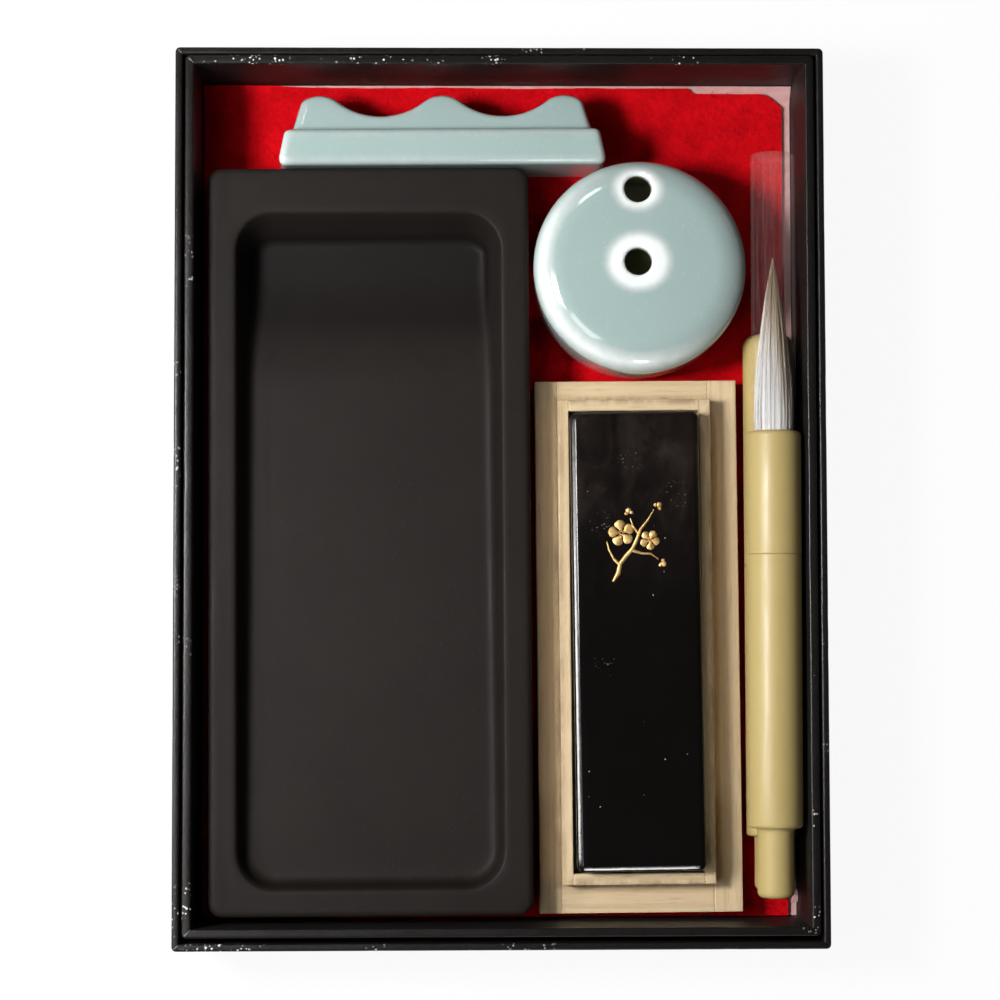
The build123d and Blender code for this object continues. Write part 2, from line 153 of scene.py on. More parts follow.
def rounded_rectangle(width: float, length: float, radius: float, corner: int, across: int,
                      along: int) -> list[Point]:
    """Points round a rounded rectangle, counterclockwise from its front right corner.

    Args:
        width: Size along x.
        length: Size along y.
        radius: Corner radius.
        corner: Steps in each corner.
        across: Steps in each straight run along x.
        along: Steps in each straight run along y.

    Returns:
        The points, always the same number for the same steps.
    """
    radius = max(radius, 0.02)
    a, b = width / 2 - radius, length / 2 - radius
    corners = [(a, -b, -90, along), (a, b, 0, across), (-a, b, 90, along), (-a, -b, 180, across)]
    points: list[Point] = []
    for (x, y, start, steps), (nx, ny, next_start, _) in zip(corners, corners[1:] + corners[:1]):
        points += arc((x, y), radius, start, start + 90, corner)
        (x0, y0), (x1, y1) = points[-1], (nx + radius * cosine(next_start), ny + radius * sine(next_start))
        points += [(x0 + (x1 - x0) * i / steps, y0 + (y1 - y0) * i / steps) for i in range(1, steps)]
    return points


# ------------------------------------------------------------------------------------ meshes
@dataclass
class Shape:
    """A mesh being put together, in millimetres."""

    verts: Loop
    faces: Faces

    @classmethod
    def empty(cls) -> "Shape":
        """A shape with nothing in it."""
        return cls([], [])

    @classmethod
    def solid(cls, loops: Sequence[Loop]) -> "Shape":
        """A closed shape whose skin runs through loops."""
        made = cls.empty()
        made.skin(loops, close_start=True, close_end=True)
        return made

    def add(self, verts: Sequence[Vector], faces: Faces) -> None:
        """Adds vertices and the faces that number them from 0."""
        start = len(self.verts)
        self.verts += list(verts)
        self.faces += [tuple(start + i for i in face) for face in faces]

    def skin(self, loops: Sequence[Loop], close_start: bool = False, close_end: bool = False) -> None:
        """Joins closed loops of equal length with quads.

        Args:
            loops: The loops in order.
            close_start: Whether a fan closes the first loop.
            close_end: Whether a fan closes the last loop.
        """
        n = len(loops[0])
        verts = [v for loop in loops for v in loop]
        faces: Faces = [
            (k * n + i, k * n + (i + 1) % n, (k + 1) * n + (i + 1) % n, (k + 1) * n + i)
            for k in range(len(loops) - 1) for i in range(n)
        ]
        for wanted, first, order in ((close_start, 0, 1), (close_end, (len(loops) - 1) * n, -1)):
            if wanted:
                centre = sum((verts[first + i] for i in range(n)), Vector()) / n
                verts.append(centre)
                faces += [(len(verts) - 1, first + (i + 1) % n, first + i)[::order] for i in range(n)]
        self.add(verts, faces)

    def piece(self, name: str, place: Matrix | None = None, crease: float = 35.0) -> Object:
        """Makes the finished mesh object, with its doubles merged and its faces outwards.

        Args:
            name: The piece's name.
            place: Where the shape goes in the frame, in millimetres.
            crease: Edges sharper than this many degrees stay sharp.

        Returns:
            The object, at the origin, with its place in its mesh.
        """
        mesh = bpy.data.meshes.new(name)
        spot = place or Matrix.Identity(4)
        mesh.from_pydata([(spot @ v) * MM for v in self.verts], [], self.faces)
        merge_doubles(mesh, SAME_PLACE, outwards=True)
        mesh.shade_smooth()
        mesh.set_sharp_from_angle(angle=math.radians(crease))
        return shown(name, mesh)


def shown(name: str, data: bpy.types.ID) -> Object:
    """A new object in the scene."""
    made = bpy.data.objects.new(name, data)
    bpy.context.scene.collection.objects.link(made)
    return made


def merge_doubles(mesh: Mesh, distance: float, outwards: bool = False) -> None:
    """Merges vertices within a distance in millimetres, and turns the faces outwards if wanted."""
    built = bmesh.new()
    built.from_mesh(mesh)
    bmesh.ops.remove_doubles(built, verts=built.verts, dist=distance * MM)
    if outwards:
        bmesh.ops.recalc_face_normals(built, faces=built.faces)
    built.to_mesh(mesh)
    built.free()


def placed(x: float, y: float, z: float, turn: float = 0.0) -> Matrix:
    """A place in the frame, turned about +Z by the given degrees."""
    return Matrix.Translation((x, y, z)) @ Matrix.Rotation(math.radians(turn), 4, "Z")


def lathe(profile: Sequence[Point], steps: int) -> list[Loop]:
    """Loops about +X from (distance along x, radius) points."""
    angles = circle(steps)
    return [[Vector((x, r * math.cos(a), r * math.sin(a))) for a in angles] for x, r in profile]


def paint(piece: Object, name: str, value: Callable[[Vector], float]) -> None:
    """Stores a value for each vertex, worked out from its place in millimetres."""
    store(piece.data, name, [value(v.co / MM) for v in piece.data.vertices])


def store(mesh: Mesh, name: str, values: Sequence[float]) -> None:
    """Stores one value for each vertex under a name that a finish reads."""
    mesh.attributes.new(name, "FLOAT", "POINT").data.foreach_set("value", values)


def settle(piece: Object, body: Body, slot: Slot, material: Material, *nodes: str) -> None:
    """Gives a piece its material and its body, and hides the CAD nodes that it stands for.

    Args:
        piece: The finished piece.
        body: The CAD body that carries it.
        slot: The record's material slot; not used.
        material: Its finish.
        nodes: CAD nodes that it replaces.
    """
    piece.data.materials.clear()
    piece.data.materials.append(material)
    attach(piece, body.value)
    if nodes:
        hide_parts(*nodes)
    LOG.info("%s rides on %s, %d faces", piece.name, body.value, len(piece.data.polygons))


def evaluated(source: Object, name: str) -> Mesh:
    """A plain mesh of what an object shows with its modifiers. The object is removed."""
    bpy.context.view_layer.update()
    graph = bpy.context.evaluated_depsgraph_get()
    mesh = bpy.data.meshes.new_from_object(source.evaluated_get(graph), depsgraph=graph)
    mesh.name = name
    bpy.data.objects.remove(source)
    return mesh


def grown(name: str, source: Mesh, tree: NodeTree, values: dict[str, float]) -> Mesh:
    """The plain mesh that a modifier's node tree makes from a mesh.

    Args:
        name: The new mesh's name.
        source: The mesh that the tree is given.
        tree: The geometry node tree.
        values: Values for its inputs, by name.

    Returns:
        The mesh.
    """
    holder = shown("holder", source)
    modifier = holder.modifiers.new("nodes", "NODES")
    modifier.node_group = tree
    for socket in tree.interface.items_tree:
        if socket.in_out == "INPUT" and socket.name in values:
            modifier[socket.identifier] = values[socket.name]
    return evaluated(holder, name)


# ------------------------------------------------------------------------------------ nodes
@dataclass
class Tree:
    """A node tree under construction."""

    tree: NodeTree

    def give(self, value: object, socket: NodeSocket) -> None:
        """Links another socket to an input, or sets the input's own value."""
        if isinstance(value, NodeSocket):
            self.tree.links.new(value, socket)
        else:
            socket.default_value = value

    def add(self, kind: str, inputs: dict[str | int, object] | None = None, **settings: object) -> Node:
        """Adds a node.

        Args:
            kind: The node's type.
            inputs: Values or sockets for its inputs, by name or number.
            settings: Its other properties.

        Returns:
            The node.
        """
        made = self.tree.nodes.new(kind)
        for key, value in settings.items():
            setattr(made, key, value)
        for key, value in (inputs or {}).items():
            self.give(value, made.inputs[key])
        return made

    def math(self, operation: str, a: object, b: object = 0.0, clamp: bool = False) -> NodeSocket:
        """The result of a math node."""
        return self.add("ShaderNodeMath", {0: a, 1: b}, operation=operation, use_clamp=clamp).outputs[0]

    def times(self, a: object, b: object, clamp: bool = False) -> NodeSocket:
        """A product."""
        return self.math("MULTIPLY", a, b, clamp)

    def plus(self, a: object, b: object, clamp: bool = False) -> NodeSocket:
        """A sum."""
        return self.math("ADD", a, b, clamp)

    def minus(self, a: object, b: object) -> NodeSocket:
        """A difference."""
        return self.math("SUBTRACT", a, b)

    def vector(self, operation: str, a: object, b: object) -> Sequence[NodeSocket]:
        """The results of a vector math node: the vector, then the number."""
        return self.add("ShaderNodeVectorMath", {0: a, 1: b}, operation=operation).outputs

    def parts(self, vector: object) -> Sequence[NodeSocket]:
        """A vector's x, y and z."""
        return self.add("ShaderNodeSeparateXYZ", {0: vector}).outputs

    def compose(self, x: object = 0.0, y: object = 0.0, z: object = 0.0) -> NodeSocket:
        """A vector from its x, y and z."""
        return self.add("ShaderNodeCombineXYZ", {0: x, 1: y, 2: z}).outputs[0]

    def mix(self, share: object, a: object, b: object) -> NodeSocket:
        """A mix of two colours."""
        return self.add("ShaderNodeMix", {0: share, 6: a, 7: b}, data_type="RGBA").outputs[2]

    def tinted(self, colour: object, *tints: tuple[object, float, Colour]) -> object:
        """A colour with others laid over it in turn, each by a share and an amount."""
        for share, amount, tint in tints:
            colour = self.mix(self.times(share, amount), colour, tint)
        return colour

    def remap(self, value: object, low: object, high: object, to_low: float = 0.0,
              to_high: float = 1.0, smooth: bool = False) -> NodeSocket:
        """A value moved from one range to another, and clamped."""
        inputs = {0: value, 1: low, 2: high, 3: to_low, 4: to_high}
        kind = "SMOOTHSTEP" if smooth else "LINEAR"
        return self.add("ShaderNodeMapRange", inputs, interpolation_type=kind).outputs[0]

    def noise(self, where: object, scale: object, detail: float = 3.0, rough: float = 0.55,
              distortion: float = 0.0) -> NodeSocket:
        """Smooth noise from 0 to 1."""
        inputs = {"Vector": where, "Scale": scale, "Detail": detail, "Roughness": rough,
                  "Distortion": distortion}
        return self.add("ShaderNodeTexNoise", inputs).outputs[0]

    def stretch(self, where: object, scale: Triple, turn: float = 0.0,
                shift: Triple = (0, 0, 0)) -> NodeSocket:
        """Coordinates scaled, turned about z and shifted."""
        inputs = {"Vector": where, "Scale": scale, "Rotation": (0, 0, math.radians(turn)),
                  "Location": shift}
        return self.add("ShaderNodeMapping", inputs).outputs[0]

    def bump(self, height: object, strength: float, distance: float,
             normal: NodeSocket | None = None) -> NodeSocket:
        """A normal bumped by a height, with the distance in millimetres."""
        inputs = {"Height": height, "Strength": strength, "Distance": distance * MM}
        if normal is not None:
            inputs["Normal"] = normal
        return self.add("ShaderNodeBump", inputs).outputs[0]

    def random(self, low: float, high: float, seed: object) -> NodeSocket:
        """A random number for each point."""
        inputs = {2: low, 3: high, "Seed": seed}
        return self.add("FunctionNodeRandomValue", inputs, data_type="FLOAT").outputs[1]

    def stored(self, geometry: NodeSocket, name: str, value: NodeSocket) -> NodeSocket:
        """Geometry whose points store a number under a name."""
        inputs = {"Geometry": geometry, "Name": name, "Value": value}
        return self.add("GeometryNodeStoreNamedAttribute", inputs, data_type="FLOAT",
                        domain="POINT").outputs[0]

    def tube(self, curve: NodeSocket, radius: object) -> Node:
        """The node that makes a three-sided tube along a curve."""
        ring = self.add("GeometryNodeCurvePrimitiveCircle", {"Resolution": 3, "Radius": radius})
        return self.add("GeometryNodeCurveToMesh", {"Curve": curve, "Profile Curve": ring.outputs[0],
                                                    "Fill Caps": True})

    def dress(self, geometry: NodeSocket, material: Material, out: Node) -> None:
        """Sends geometry to a modifier's output as real meshes with a material."""
        real = self.add("GeometryNodeRealizeInstances", {0: geometry})
        done = self.add("GeometryNodeSetMaterial", {"Geometry": real.outputs[0], "Material": material})
        self.give(done.outputs[0], out.inputs[0])

    def finish_with(self, kind: str, share: object, a: NodeSocket, b: NodeSocket) -> None:
        """Sends a mix of two shaders to the tree's own output node of a kind."""
        both = self.add("ShaderNodeMixShader", {0: share, 1: a, 2: b}).outputs[0]
        output = next(n for n in self.tree.nodes if n.type == kind)
        self.give(both, output.inputs["Surface"])


def new_group(name: str, inputs: dict[str, float], outputs: Sequence[str],
              modifier: bool = False) -> tuple[Tree, Sequence[NodeSocket], Node]:
    """Starts a node group whose first input is a Vector, or in a modifier the Geometry.

    Args:
        name: The group's name.
        inputs: Names and starting values of the other inputs. A whole number makes a whole-number input.
        outputs: Names of the outputs.
        modifier: Whether the group is a modifier's and not a shader's.

    Returns:
        The tree, the sockets of its input node and its output node.
    """
    first, result = ("Geometry", "Geometry") if modifier else ("Vector", "Float")
    made = bpy.data.node_groups.new(name, "GeometryNodeTree" if modifier else "ShaderNodeTree")
    if modifier:
        made.is_modifier = True
    made.interface.new_socket(first, in_out="INPUT", socket_type=f"NodeSocket{first}")
    for key, value in inputs.items():
        kind = "NodeSocketInt" if isinstance(value, int) else "NodeSocketFloat"
        made.interface.new_socket(key, in_out="INPUT", socket_type=kind).default_value = value
    for key in outputs:
        made.interface.new_socket(key, in_out="OUTPUT", socket_type=f"NodeSocket{result}")
    tree = Tree(made)
    return tree, tree.add("NodeGroupInput").outputs, tree.add("NodeGroupOutput")


@dataclass(frozen=True)
class Effects:
    """The surface effects that several finishes share."""

    mottle: NodeTree
    specks: NodeTree
    emboss: NodeTree
    scratches: NodeTree
    grain: NodeTree

    @classmethod
    def build(cls) -> "Effects":
        """Builds each effect once."""
        return cls(cls._mottle(), cls._specks(), cls._emboss(), cls._scratches(), cls._grain())

    @staticmethod
    def _mottle() -> NodeTree:
        """Soft cloudy variation at two sizes."""
        t, given, out = new_group("cloudy_mottle", {"Scale": 60.0, "Fine": 4.0}, ["Value"])
        broad = t.noise(given["Vector"], given["Scale"], 3.0)
        fine = t.noise(given["Vector"], t.times(given["Scale"], given["Fine"]), 4.0, 0.6)
        both = t.plus(t.times(broad, 0.65), t.times(fine, 0.35))
        t.give(t.remap(both, 0.3, 0.7), out.inputs["Value"])
        return t.tree

    @staticmethod
    def _specks() -> NodeTree:
        """Scattered specks that come and go in patches."""
        t, given, out = new_group("scattered_specks", {"Scale": 900.0, "Size": 0.25, "Patches": 80.0,
                                                       "Cover": 0.5}, ["Mask"])
        cells = t.add("ShaderNodeTexVoronoi", {"Vector": given["Vector"], "Scale": given["Scale"]}).outputs
        near = t.remap(cells["Distance"], given["Size"], 0.0)
        some = t.add("ShaderNodeSeparateColor", {0: cells["Color"]}).outputs[0]
        patch = t.noise(given["Vector"], given["Patches"], 2.0)
        kept = t.math("LESS_THAN", some, t.remap(patch, 0.35, 0.75, 0.0, 1.0))
        kept = t.times(kept, t.math("LESS_THAN", some, given["Cover"]))
        t.give(t.times(near, kept, True), out.inputs["Mask"])
        return t.tree

    @staticmethod
    def _emboss() -> NodeTree:
        """The pebbled grain pressed into covering paper."""
        t, given, out = new_group("pressed_grain", {"Scale": 900.0}, ["Height", "Valley"])
        where = given["Vector"]
        bend = t.add("ShaderNodeTexNoise", {"Vector": where, "Scale": 500.0, "Detail": 2.0})
        bent = t.vector("MULTIPLY", bend.outputs["Color"], (0.0006, 0.0006, 0.0006))[0]
        moved = t.vector("ADD", where, bent)[0]
        cells = t.add("ShaderNodeTexVoronoi", {"Vector": moved, "Scale": given["Scale"]},
                      feature="DISTANCE_TO_EDGE").outputs
        pebble = t.remap(cells["Distance"], 0.0, 0.32, smooth=True)
        fine = t.noise(where, 2600.0, 2.0)
        t.give(t.plus(pebble, t.times(fine, 0.35)), out.inputs["Height"])
        t.give(t.remap(cells["Distance"], 0.14, 0.0), out.inputs["Valley"])
        return t.tree

    @staticmethod
    def _scratches() -> NodeTree:
        """Fine marks that run mostly along one direction."""
        t, given, out = new_group("fine_scratches", {"Scale": 120.0, "Length": 0.04, "Cover": 0.5},
                                  ["Height", "Mask"])
        where = t.vector("MULTIPLY", given["Vector"], t.compose(1.0, given["Length"], 1.0))[0]
        lines = t.noise(where, t.times(given["Scale"], 12.0), 3.0, 0.7)
        patch = t.noise(given["Vector"], given["Scale"], 2.0)
        cover = t.remap(patch, given["Cover"], 0.8)
        t.give(lines, out.inputs["Height"])
        t.give(t.times(t.remap(lines, 0.62, 0.72), cover, True), out.inputs["Mask"])
        return t.tree

    @staticmethod
    def _grain() -> NodeTree:
        """Wood grain that runs along y: broad bands, year lines and pores."""
        t, given, out = new_group("straight_grain", {"Lines": 260.0}, ["Bands", "Lines", "Pores"])
        where = given["Vector"]
        bands = t.noise(t.stretch(where, (1.0, 0.035, 1.0)), 170.0, 2.0)
        warp = t.times(t.noise(t.stretch(where, (1.0, 0.12, 1.0)), 60.0, 2.0), 0.006)
        x, _, z = t.parts(where)
        across = t.plus(t.plus(x, t.times(z, 0.4)), warp)
        phase = t.times(across, t.times(given["Lines"], 6.28))
        pores = t.noise(t.stretch(where, (1.0, 0.05, 1.0)), 2400.0, 2.0, 0.7)
        t.give(t.remap(bands, 0.3, 0.7), out.inputs["Bands"])
        t.give(t.remap(t.math("SINE", phase), 0.2, 1.0, smooth=True), out.inputs["Lines"])
        t.give(t.remap(pores, 0.55, 0.7), out.inputs["Pores"])
        return t.tree


@dataclass
class Surface(Tree):
    """A material's node tree, with the shared effects and the place on the object."""

    effects: Effects
    where: NodeSocket

    def _effect(self, group: NodeTree, **inputs: object) -> Sequence[NodeSocket]:
        """The results of a shared effect."""
        given = {"Vector": self.where, **{key.capitalize(): value for key, value in inputs.items()}}
        return self.add("ShaderNodeGroup", given, node_tree=group).outputs

    def mottle(self, scale: float, fine: float) -> NodeSocket:
        """Soft cloudy variation from 0 to 1."""
        return self._effect(self.effects.mottle, scale=scale, fine=fine)["Value"]

    def specks(self, scale: float, size: float, patches: float, cover: float) -> NodeSocket:
        """A mask of scattered specks."""
        return self._effect(self.effects.specks, scale=scale, size=size, patches=patches,
                            cover=cover)["Mask"]

    def scratches(self, scale: float, length: float, cover: float) -> tuple[NodeSocket, NodeSocket]:
        """Fine marks: their height, and a mask of the clearest ones."""
        made = self._effect(self.effects.scratches, scale=scale, length=length, cover=cover)
        return made["Height"], made["Mask"]

    def emboss(self, scale: float) -> tuple[NodeSocket, NodeSocket]:
        """Pressed grain: its height, and a mask of its valleys."""
        made = self._effect(self.effects.emboss, scale=scale)
        return made["Height"], made["Valley"]

    def grain(self, where: NodeSocket, lines: float) -> tuple[NodeSocket, NodeSocket, NodeSocket]:
        """Wood grain along y: bands, year lines and pores."""
        made = self._effect(self.effects.grain, vector=where, lines=lines)
        return made["Bands"], made["Lines"], made["Pores"]

    def attribute(self, name: str) -> NodeSocket:
        """A value that the mesh stores."""
        return self.add("ShaderNodeAttribute", attribute_name=name).outputs["Fac"]


# ------------------------------------------------------------------------------------ finishes
def new_material(name: str) -> tuple[Material, NodeTree, Node]:
    """Starts a material, and gives it with its tree and its Principled shader."""
    made = bpy.data.materials.new(name)
    made.use_nodes = True
    return made, made.node_tree, made.node_tree.nodes["Principled BSDF"]


@dataclass(frozen=True)
class Finish:
    """A procedural finish that uses the shared effects."""

    effects: Effects
    name: str

    def sockets(self, t: Surface) -> dict[str, object]:
        """What goes into the Principled shader, by its inputs' names."""
        raise NotImplementedError

    def material(self) -> Material:
        """Builds the finish."""
        made, tree, shader = new_material(self.name)
        where = Tree(tree).add("ShaderNodeTexCoord").outputs["Object"]
        surface = Surface(tree, self.effects, where)
        for key, value in self.sockets(surface).items():
            surface.give(value, shader.inputs[key])
        return made


@dataclass(frozen=True)
class CoveredPaper(Finish):
    """Black embossed covering paper: the fold attribute is 1 on its rims, and the glint attribute marks where
    white glints are painted on them.
    """

    name: str = "embossed_black_paper"
    colour: Colour = (0.0085, 0.007, 0.0063, 1)
    valley: Colour = (0.004, 0.0036, 0.0036, 1)
    faded: Colour = (0.014, 0.013, 0.0125, 1)
    # The white of the glints painted on the rims.
    wear_and_glint: Colour = (0.85, 0.83, 0.8, 1)

    def sockets(self, t: Surface) -> dict[str, object]:
        """A pebbled black that is smoother on the folds, with painted white glints where the glint attribute
        marks them.
        """
        height, valley = t.emboss(1050.0)
        soft = t.mottle(scale=70.0, fine=5.0)
        flecks = t.specks(scale=1250.0, size=0.42, patches=260.0, cover=0.95)
        # The white flecks are painted glints: they stand in for light catching the embossed rims.
        glints = t.times(t.remap(flecks, 0.1, 0.45), t.attribute("glint"), True)
        colour = t.tinted(t.mix(valley, self.colour, self.valley), (soft, 0.25, self.faded))
        rough = t.minus(t.remap(soft, 0.0, 1.0, 0.5, 0.6), t.times(t.attribute("fold"), 0.24))
        return {"Base Color": t.mix(glints, colour, self.wear_and_glint), "Roughness": rough,
                "Normal": t.bump(height, 0.28, 0.04), "Specular IOR Level": 0.3}


@dataclass(frozen=True)
class NappedFelt(Finish):
    """Red felt with a matted nap."""

    name: str = "red_felt_nap"
    lit: Colour = (0.78, 0.0035, 0.009, 1)
    deep: Colour = (0.5, 0.0015, 0.005, 1)
    sheen: Colour = (1.0, 0.08, 0.1, 1)

    def sockets(self, t: Surface) -> dict[str, object]:
        """Tangled reds under a soft sheen."""
        soft = t.mottle(scale=240.0, fine=4.0)
        tangle = t.noise(t.where, 1900.0, 5.0, 0.75, 1.5)
        colour = t.mix(soft, self.deep, self.lit)
        colour = t.mix(t.remap(tangle, 0.35, 0.6), t.mix(0.35, colour, self.deep), colour)
        return {"Base Color": colour, "Roughness": 0.95, "Sheen Weight": 0.12, "Sheen Roughness": 0.5,
                "Sheen Tint": self.sheen, "Specular IOR Level": 0.05,
                "Normal": t.bump(tangle, 0.9, 0.25, t.bump(soft, 0.5, 0.5))}


@dataclass(frozen=True)
class PlainCard(Finish):
    """White card, tinted where the felt's dye has rubbed off on it."""

    name: str = "white_backing_card"
    colour: Colour = (0.66, 0.42, 0.4, 1)
    dye: Colour = (0.5, 0.15, 0.14, 1)

    def sockets(self, t: Surface) -> dict[str, object]:
        """Fibrous card with cloudy dye."""
        colour = t.tinted(self.colour, (t.mottle(scale=260.0, fine=3.0), 0.55, self.dye))
        return {"Base Color": colour, "Roughness": 0.9,
                "Normal": t.bump(t.noise(t.where, 3000.0, 3.0), 0.4, 0.05)}


@dataclass(frozen=True)
class HonedStone(Finish):
    """Matt charcoal stone: the edge attribute is 1 on its rounded edges, and the ink attribute is 1 deep in
    the sea, where shade is painted.
    """

    name: str = "honed_charcoal_stone"
    colour: Colour = (0.0112, 0.0088, 0.0077, 1)
    pale: Colour = (0.0215, 0.0172, 0.015, 1)
    crystal: Colour = (0.08, 0.072, 0.066, 1)
    # The darker colour deep in the sea is painted shade.
    sea_shade: Colour = (0.0062, 0.0046, 0.0043, 1)

    def sockets(self, t: Surface) -> dict[str, object]:
        """Honing marks and grit, paler along the edges and darker deep in the sea, which is painted shade."""
        height, marks = t.scratches(scale=90.0, length=0.05, cover=0.4)
        crystals = t.specks(scale=1300.0, size=0.3, patches=200.0, cover=0.12)
        colour = t.tinted(
            self.colour, (t.mottle(scale=45.0, fine=9.0), 0.4, self.pale), (marks, 0.35, self.pale),
            (t.attribute("edge"), 0.5, self.pale), (crystals, 0.3, self.crystal),
            # The ink attribute darkens the sea's depths as painted shade.
            (t.attribute("ink"), 0.85, self.sea_shade),
        )
        grit = t.noise(t.where, 3200.0, 3.0, 0.7)
        return {"Base Color": colour, "Roughness": t.remap(height, 0.3, 0.7, 0.46, 0.6),
                "Normal": t.bump(grit, 0.5, 0.05, t.bump(height, 0.3, 0.04)), "Specular IOR Level": 0.11}


@dataclass(frozen=True)
class CeladonGlaze(Finish):
    """Celadon over white porcelain: thin is 1 where the glaze ran thin and where a highlight is painted, and
    inside is 1 in a hollow, whose lighter olive is painted light.
    """

    name: str = "celadon_glaze"
    colour: Colour = (0.345, 0.45, 0.435, 1)
    deep: Colour = (0.3, 0.405, 0.38, 1)
    thin: Colour = (0.86, 0.885, 0.87, 1)
    blush: Colour = (0.66, 0.61, 0.59, 1)
    bubble: Colour = (0.7, 0.78, 0.76, 1)
    # A lighter olive for the hollow, which is painted bounce light.
    hollow_light: Colour = (0.44, 0.46, 0.27, 1)

    def sockets(self, t: Surface) -> dict[str, object]:
        """A glossy glaze that pales raggedly where it is thin and where a highlight is painted, with a warm
        line before it does.
        """
        ragged = t.plus(t.attribute("thin"), t.times(t.noise(t.where, 420.0, 3.0), 0.2))
        rim = t.times(t.remap(ragged, 0.12, 0.3), t.remap(ragged, 0.55, 0.35))
        bubbles = t.specks(scale=1500.0, size=0.35, patches=150.0, cover=0.18)
        colour = t.tinted(self.colour, (t.mottle(scale=80.0, fine=4.0), 0.3, self.deep),
                          (rim, 0.2, self.blush))
        colour = t.mix(t.remap(ragged, 0.2, 0.9, smooth=True), colour, self.thin)
        colour = t.tinted(colour, (bubbles, 0.25, self.bubble))
        # Inside the hollow the colour is painted bounce light.
        return {"Base Color": t.mix(t.attribute("inside"), colour, self.hollow_light), "Roughness": 0.12,
                "Normal": t.bump(t.noise(t.where, 130.0, 2.0), 0.12, 0.25), "Coat Weight": 0.6,
                "Coat Roughness": 0.04}


@dataclass(frozen=True)
class PlanedWood(Finish):
    """Pale planed paulownia whose grain runs along y, or along x when turned.

    The lips are the middle and the half sizes of the box round the lip strips, in millimetres.
    """

    turn: float = 0.0
    shift: Triple = (0.0, 0.0, 0.0)
    pale: Colour = (0.69, 0.54, 0.345, 1)
    line: Colour = (0.52, 0.375, 0.205, 1)
    pore: Colour = (0.4, 0.275, 0.14, 1)
    lip_edge_dark: Colour = (0.2, 0.115, 0.05, 1)
    lips: Colour = (30.05, -31.7, 16.9, 53.4)

    def _near_lips(self, t: Surface) -> NodeSocket:
        """How much darker the wood is made, which is most along the outside of the lip strips."""
        x, y, half_x, half_y = (v * MM for v in self.lips)
        local_x, local_y, _ = t.parts(t.stretch(t.where, (1.0, 1.0, 1.0), shift=(-x, -y, 0.0)))
        beyond = t.math("MAXIMUM", t.minus(t.math("ABSOLUTE", local_x), half_x),
                        t.minus(t.math("ABSOLUTE", local_y), half_y))
        near = t.remap(t.math("ABSOLUTE", beyond), 1.9 * MM, 0.2 * MM, smooth=True)
        patches = t.noise(t.stretch(t.where, (1.0, 0.3, 1.0), self.turn), 260.0, 4.0, 0.7)
        return t.times(near, t.remap(patches, 0.35, 0.65), True)

    def sockets(self, t: Surface) -> dict[str, object]:
        """Bands, year lines and pores, made darker in patches along the outside of the lip strips."""
        turned_place = t.stretch(t.where, (1.0, 1.0, 1.0), self.turn, self.shift)
        bands, lines, pores = t.grain(turned_place, 330.0)
        colour = t.tinted(
            self.pale, (lines, 0.45, self.line), (bands, 0.4, self.line), (pores, 0.5, self.pore),
            (t.mottle(scale=60.0, fine=6.0), 0.2, self.line), (self._near_lips(t), 0.6, self.lip_edge_dark),
        )
        return {"Base Color": colour, "Roughness": t.remap(bands, 0.0, 1.0, 0.55, 0.7),
                "Normal": t.bump(t.minus(lines, pores), 0.2, 0.04), "Specular IOR Level": 0.3}


@dataclass(frozen=True)
class PolishedInk(Finish):
    """Polished black ink cake: dusty holds (x, y) in metres and a reach in millimetres."""

    name: str = "polished_ink_cake"
    colour: Colour = (0.0028, 0.0022, 0.002, 1)
    bloom: Colour = (0.034, 0.0225, 0.019, 1)
    dust: Colour = (0.6, 0.55, 0.5, 1)
    powder: Colour = (0.5, 0.46, 0.44, 1)
    top: float = 0.0234
    dusty: tuple[Triple, ...] = ((0.0287, 0.0083, 3.2), (0.0386, 0.0004, 3.6), (0.022, -0.006, 3.0),
                                 (0.0225, -0.037, 3.0))

    def sockets(self, t: Surface) -> dict[str, object]:
        """Deep black with smears, a brown bloom towards the back and clusters of dust."""
        soft = t.mottle(scale=50.0, fine=5.0)
        height, _ = t.scratches(scale=60.0, length=0.1, cover=0.5)
        dust = t.specks(scale=420.0, size=0.09, patches=60.0, cover=0.16)
        fine = t.specks(scale=1900.0, size=0.3, patches=500.0, cover=0.6)
        back = t.remap(t.parts(t.where)[1], -0.03, 0.018, smooth=True)
        smear = t.remap(t.noise(t.stretch(t.where, (1.0, 0.5, 1.0)), 120.0, 4.0, 0.6, 1.0), 0.5, 0.75)
        share = t.times(t.plus(t.times(soft, 0.4), t.times(smear, 0.5)), back, True)
        spread = 0.0
        for x, y, reach in self.dusty:
            away = t.vector("DISTANCE", t.where, (x, y, self.top))["Value"]
            spread = t.math("MAXIMUM", t.remap(away, reach * MM, 0.1 * reach * MM), spread)
        colour = t.tinted(t.mix(share, self.colour, self.bloom), (dust, 0.85, self.dust),
                          (t.times(fine, spread), 0.9, self.powder))
        rough = t.plus(t.remap(soft, 0.0, 1.0, 0.1, 0.18), t.times(share, 0.2))
        return {"Base Color": colour, "Roughness": rough,
                "Normal": t.bump(height, 0.12, 0.02, t.bump(soft, 0.15, 0.2))}


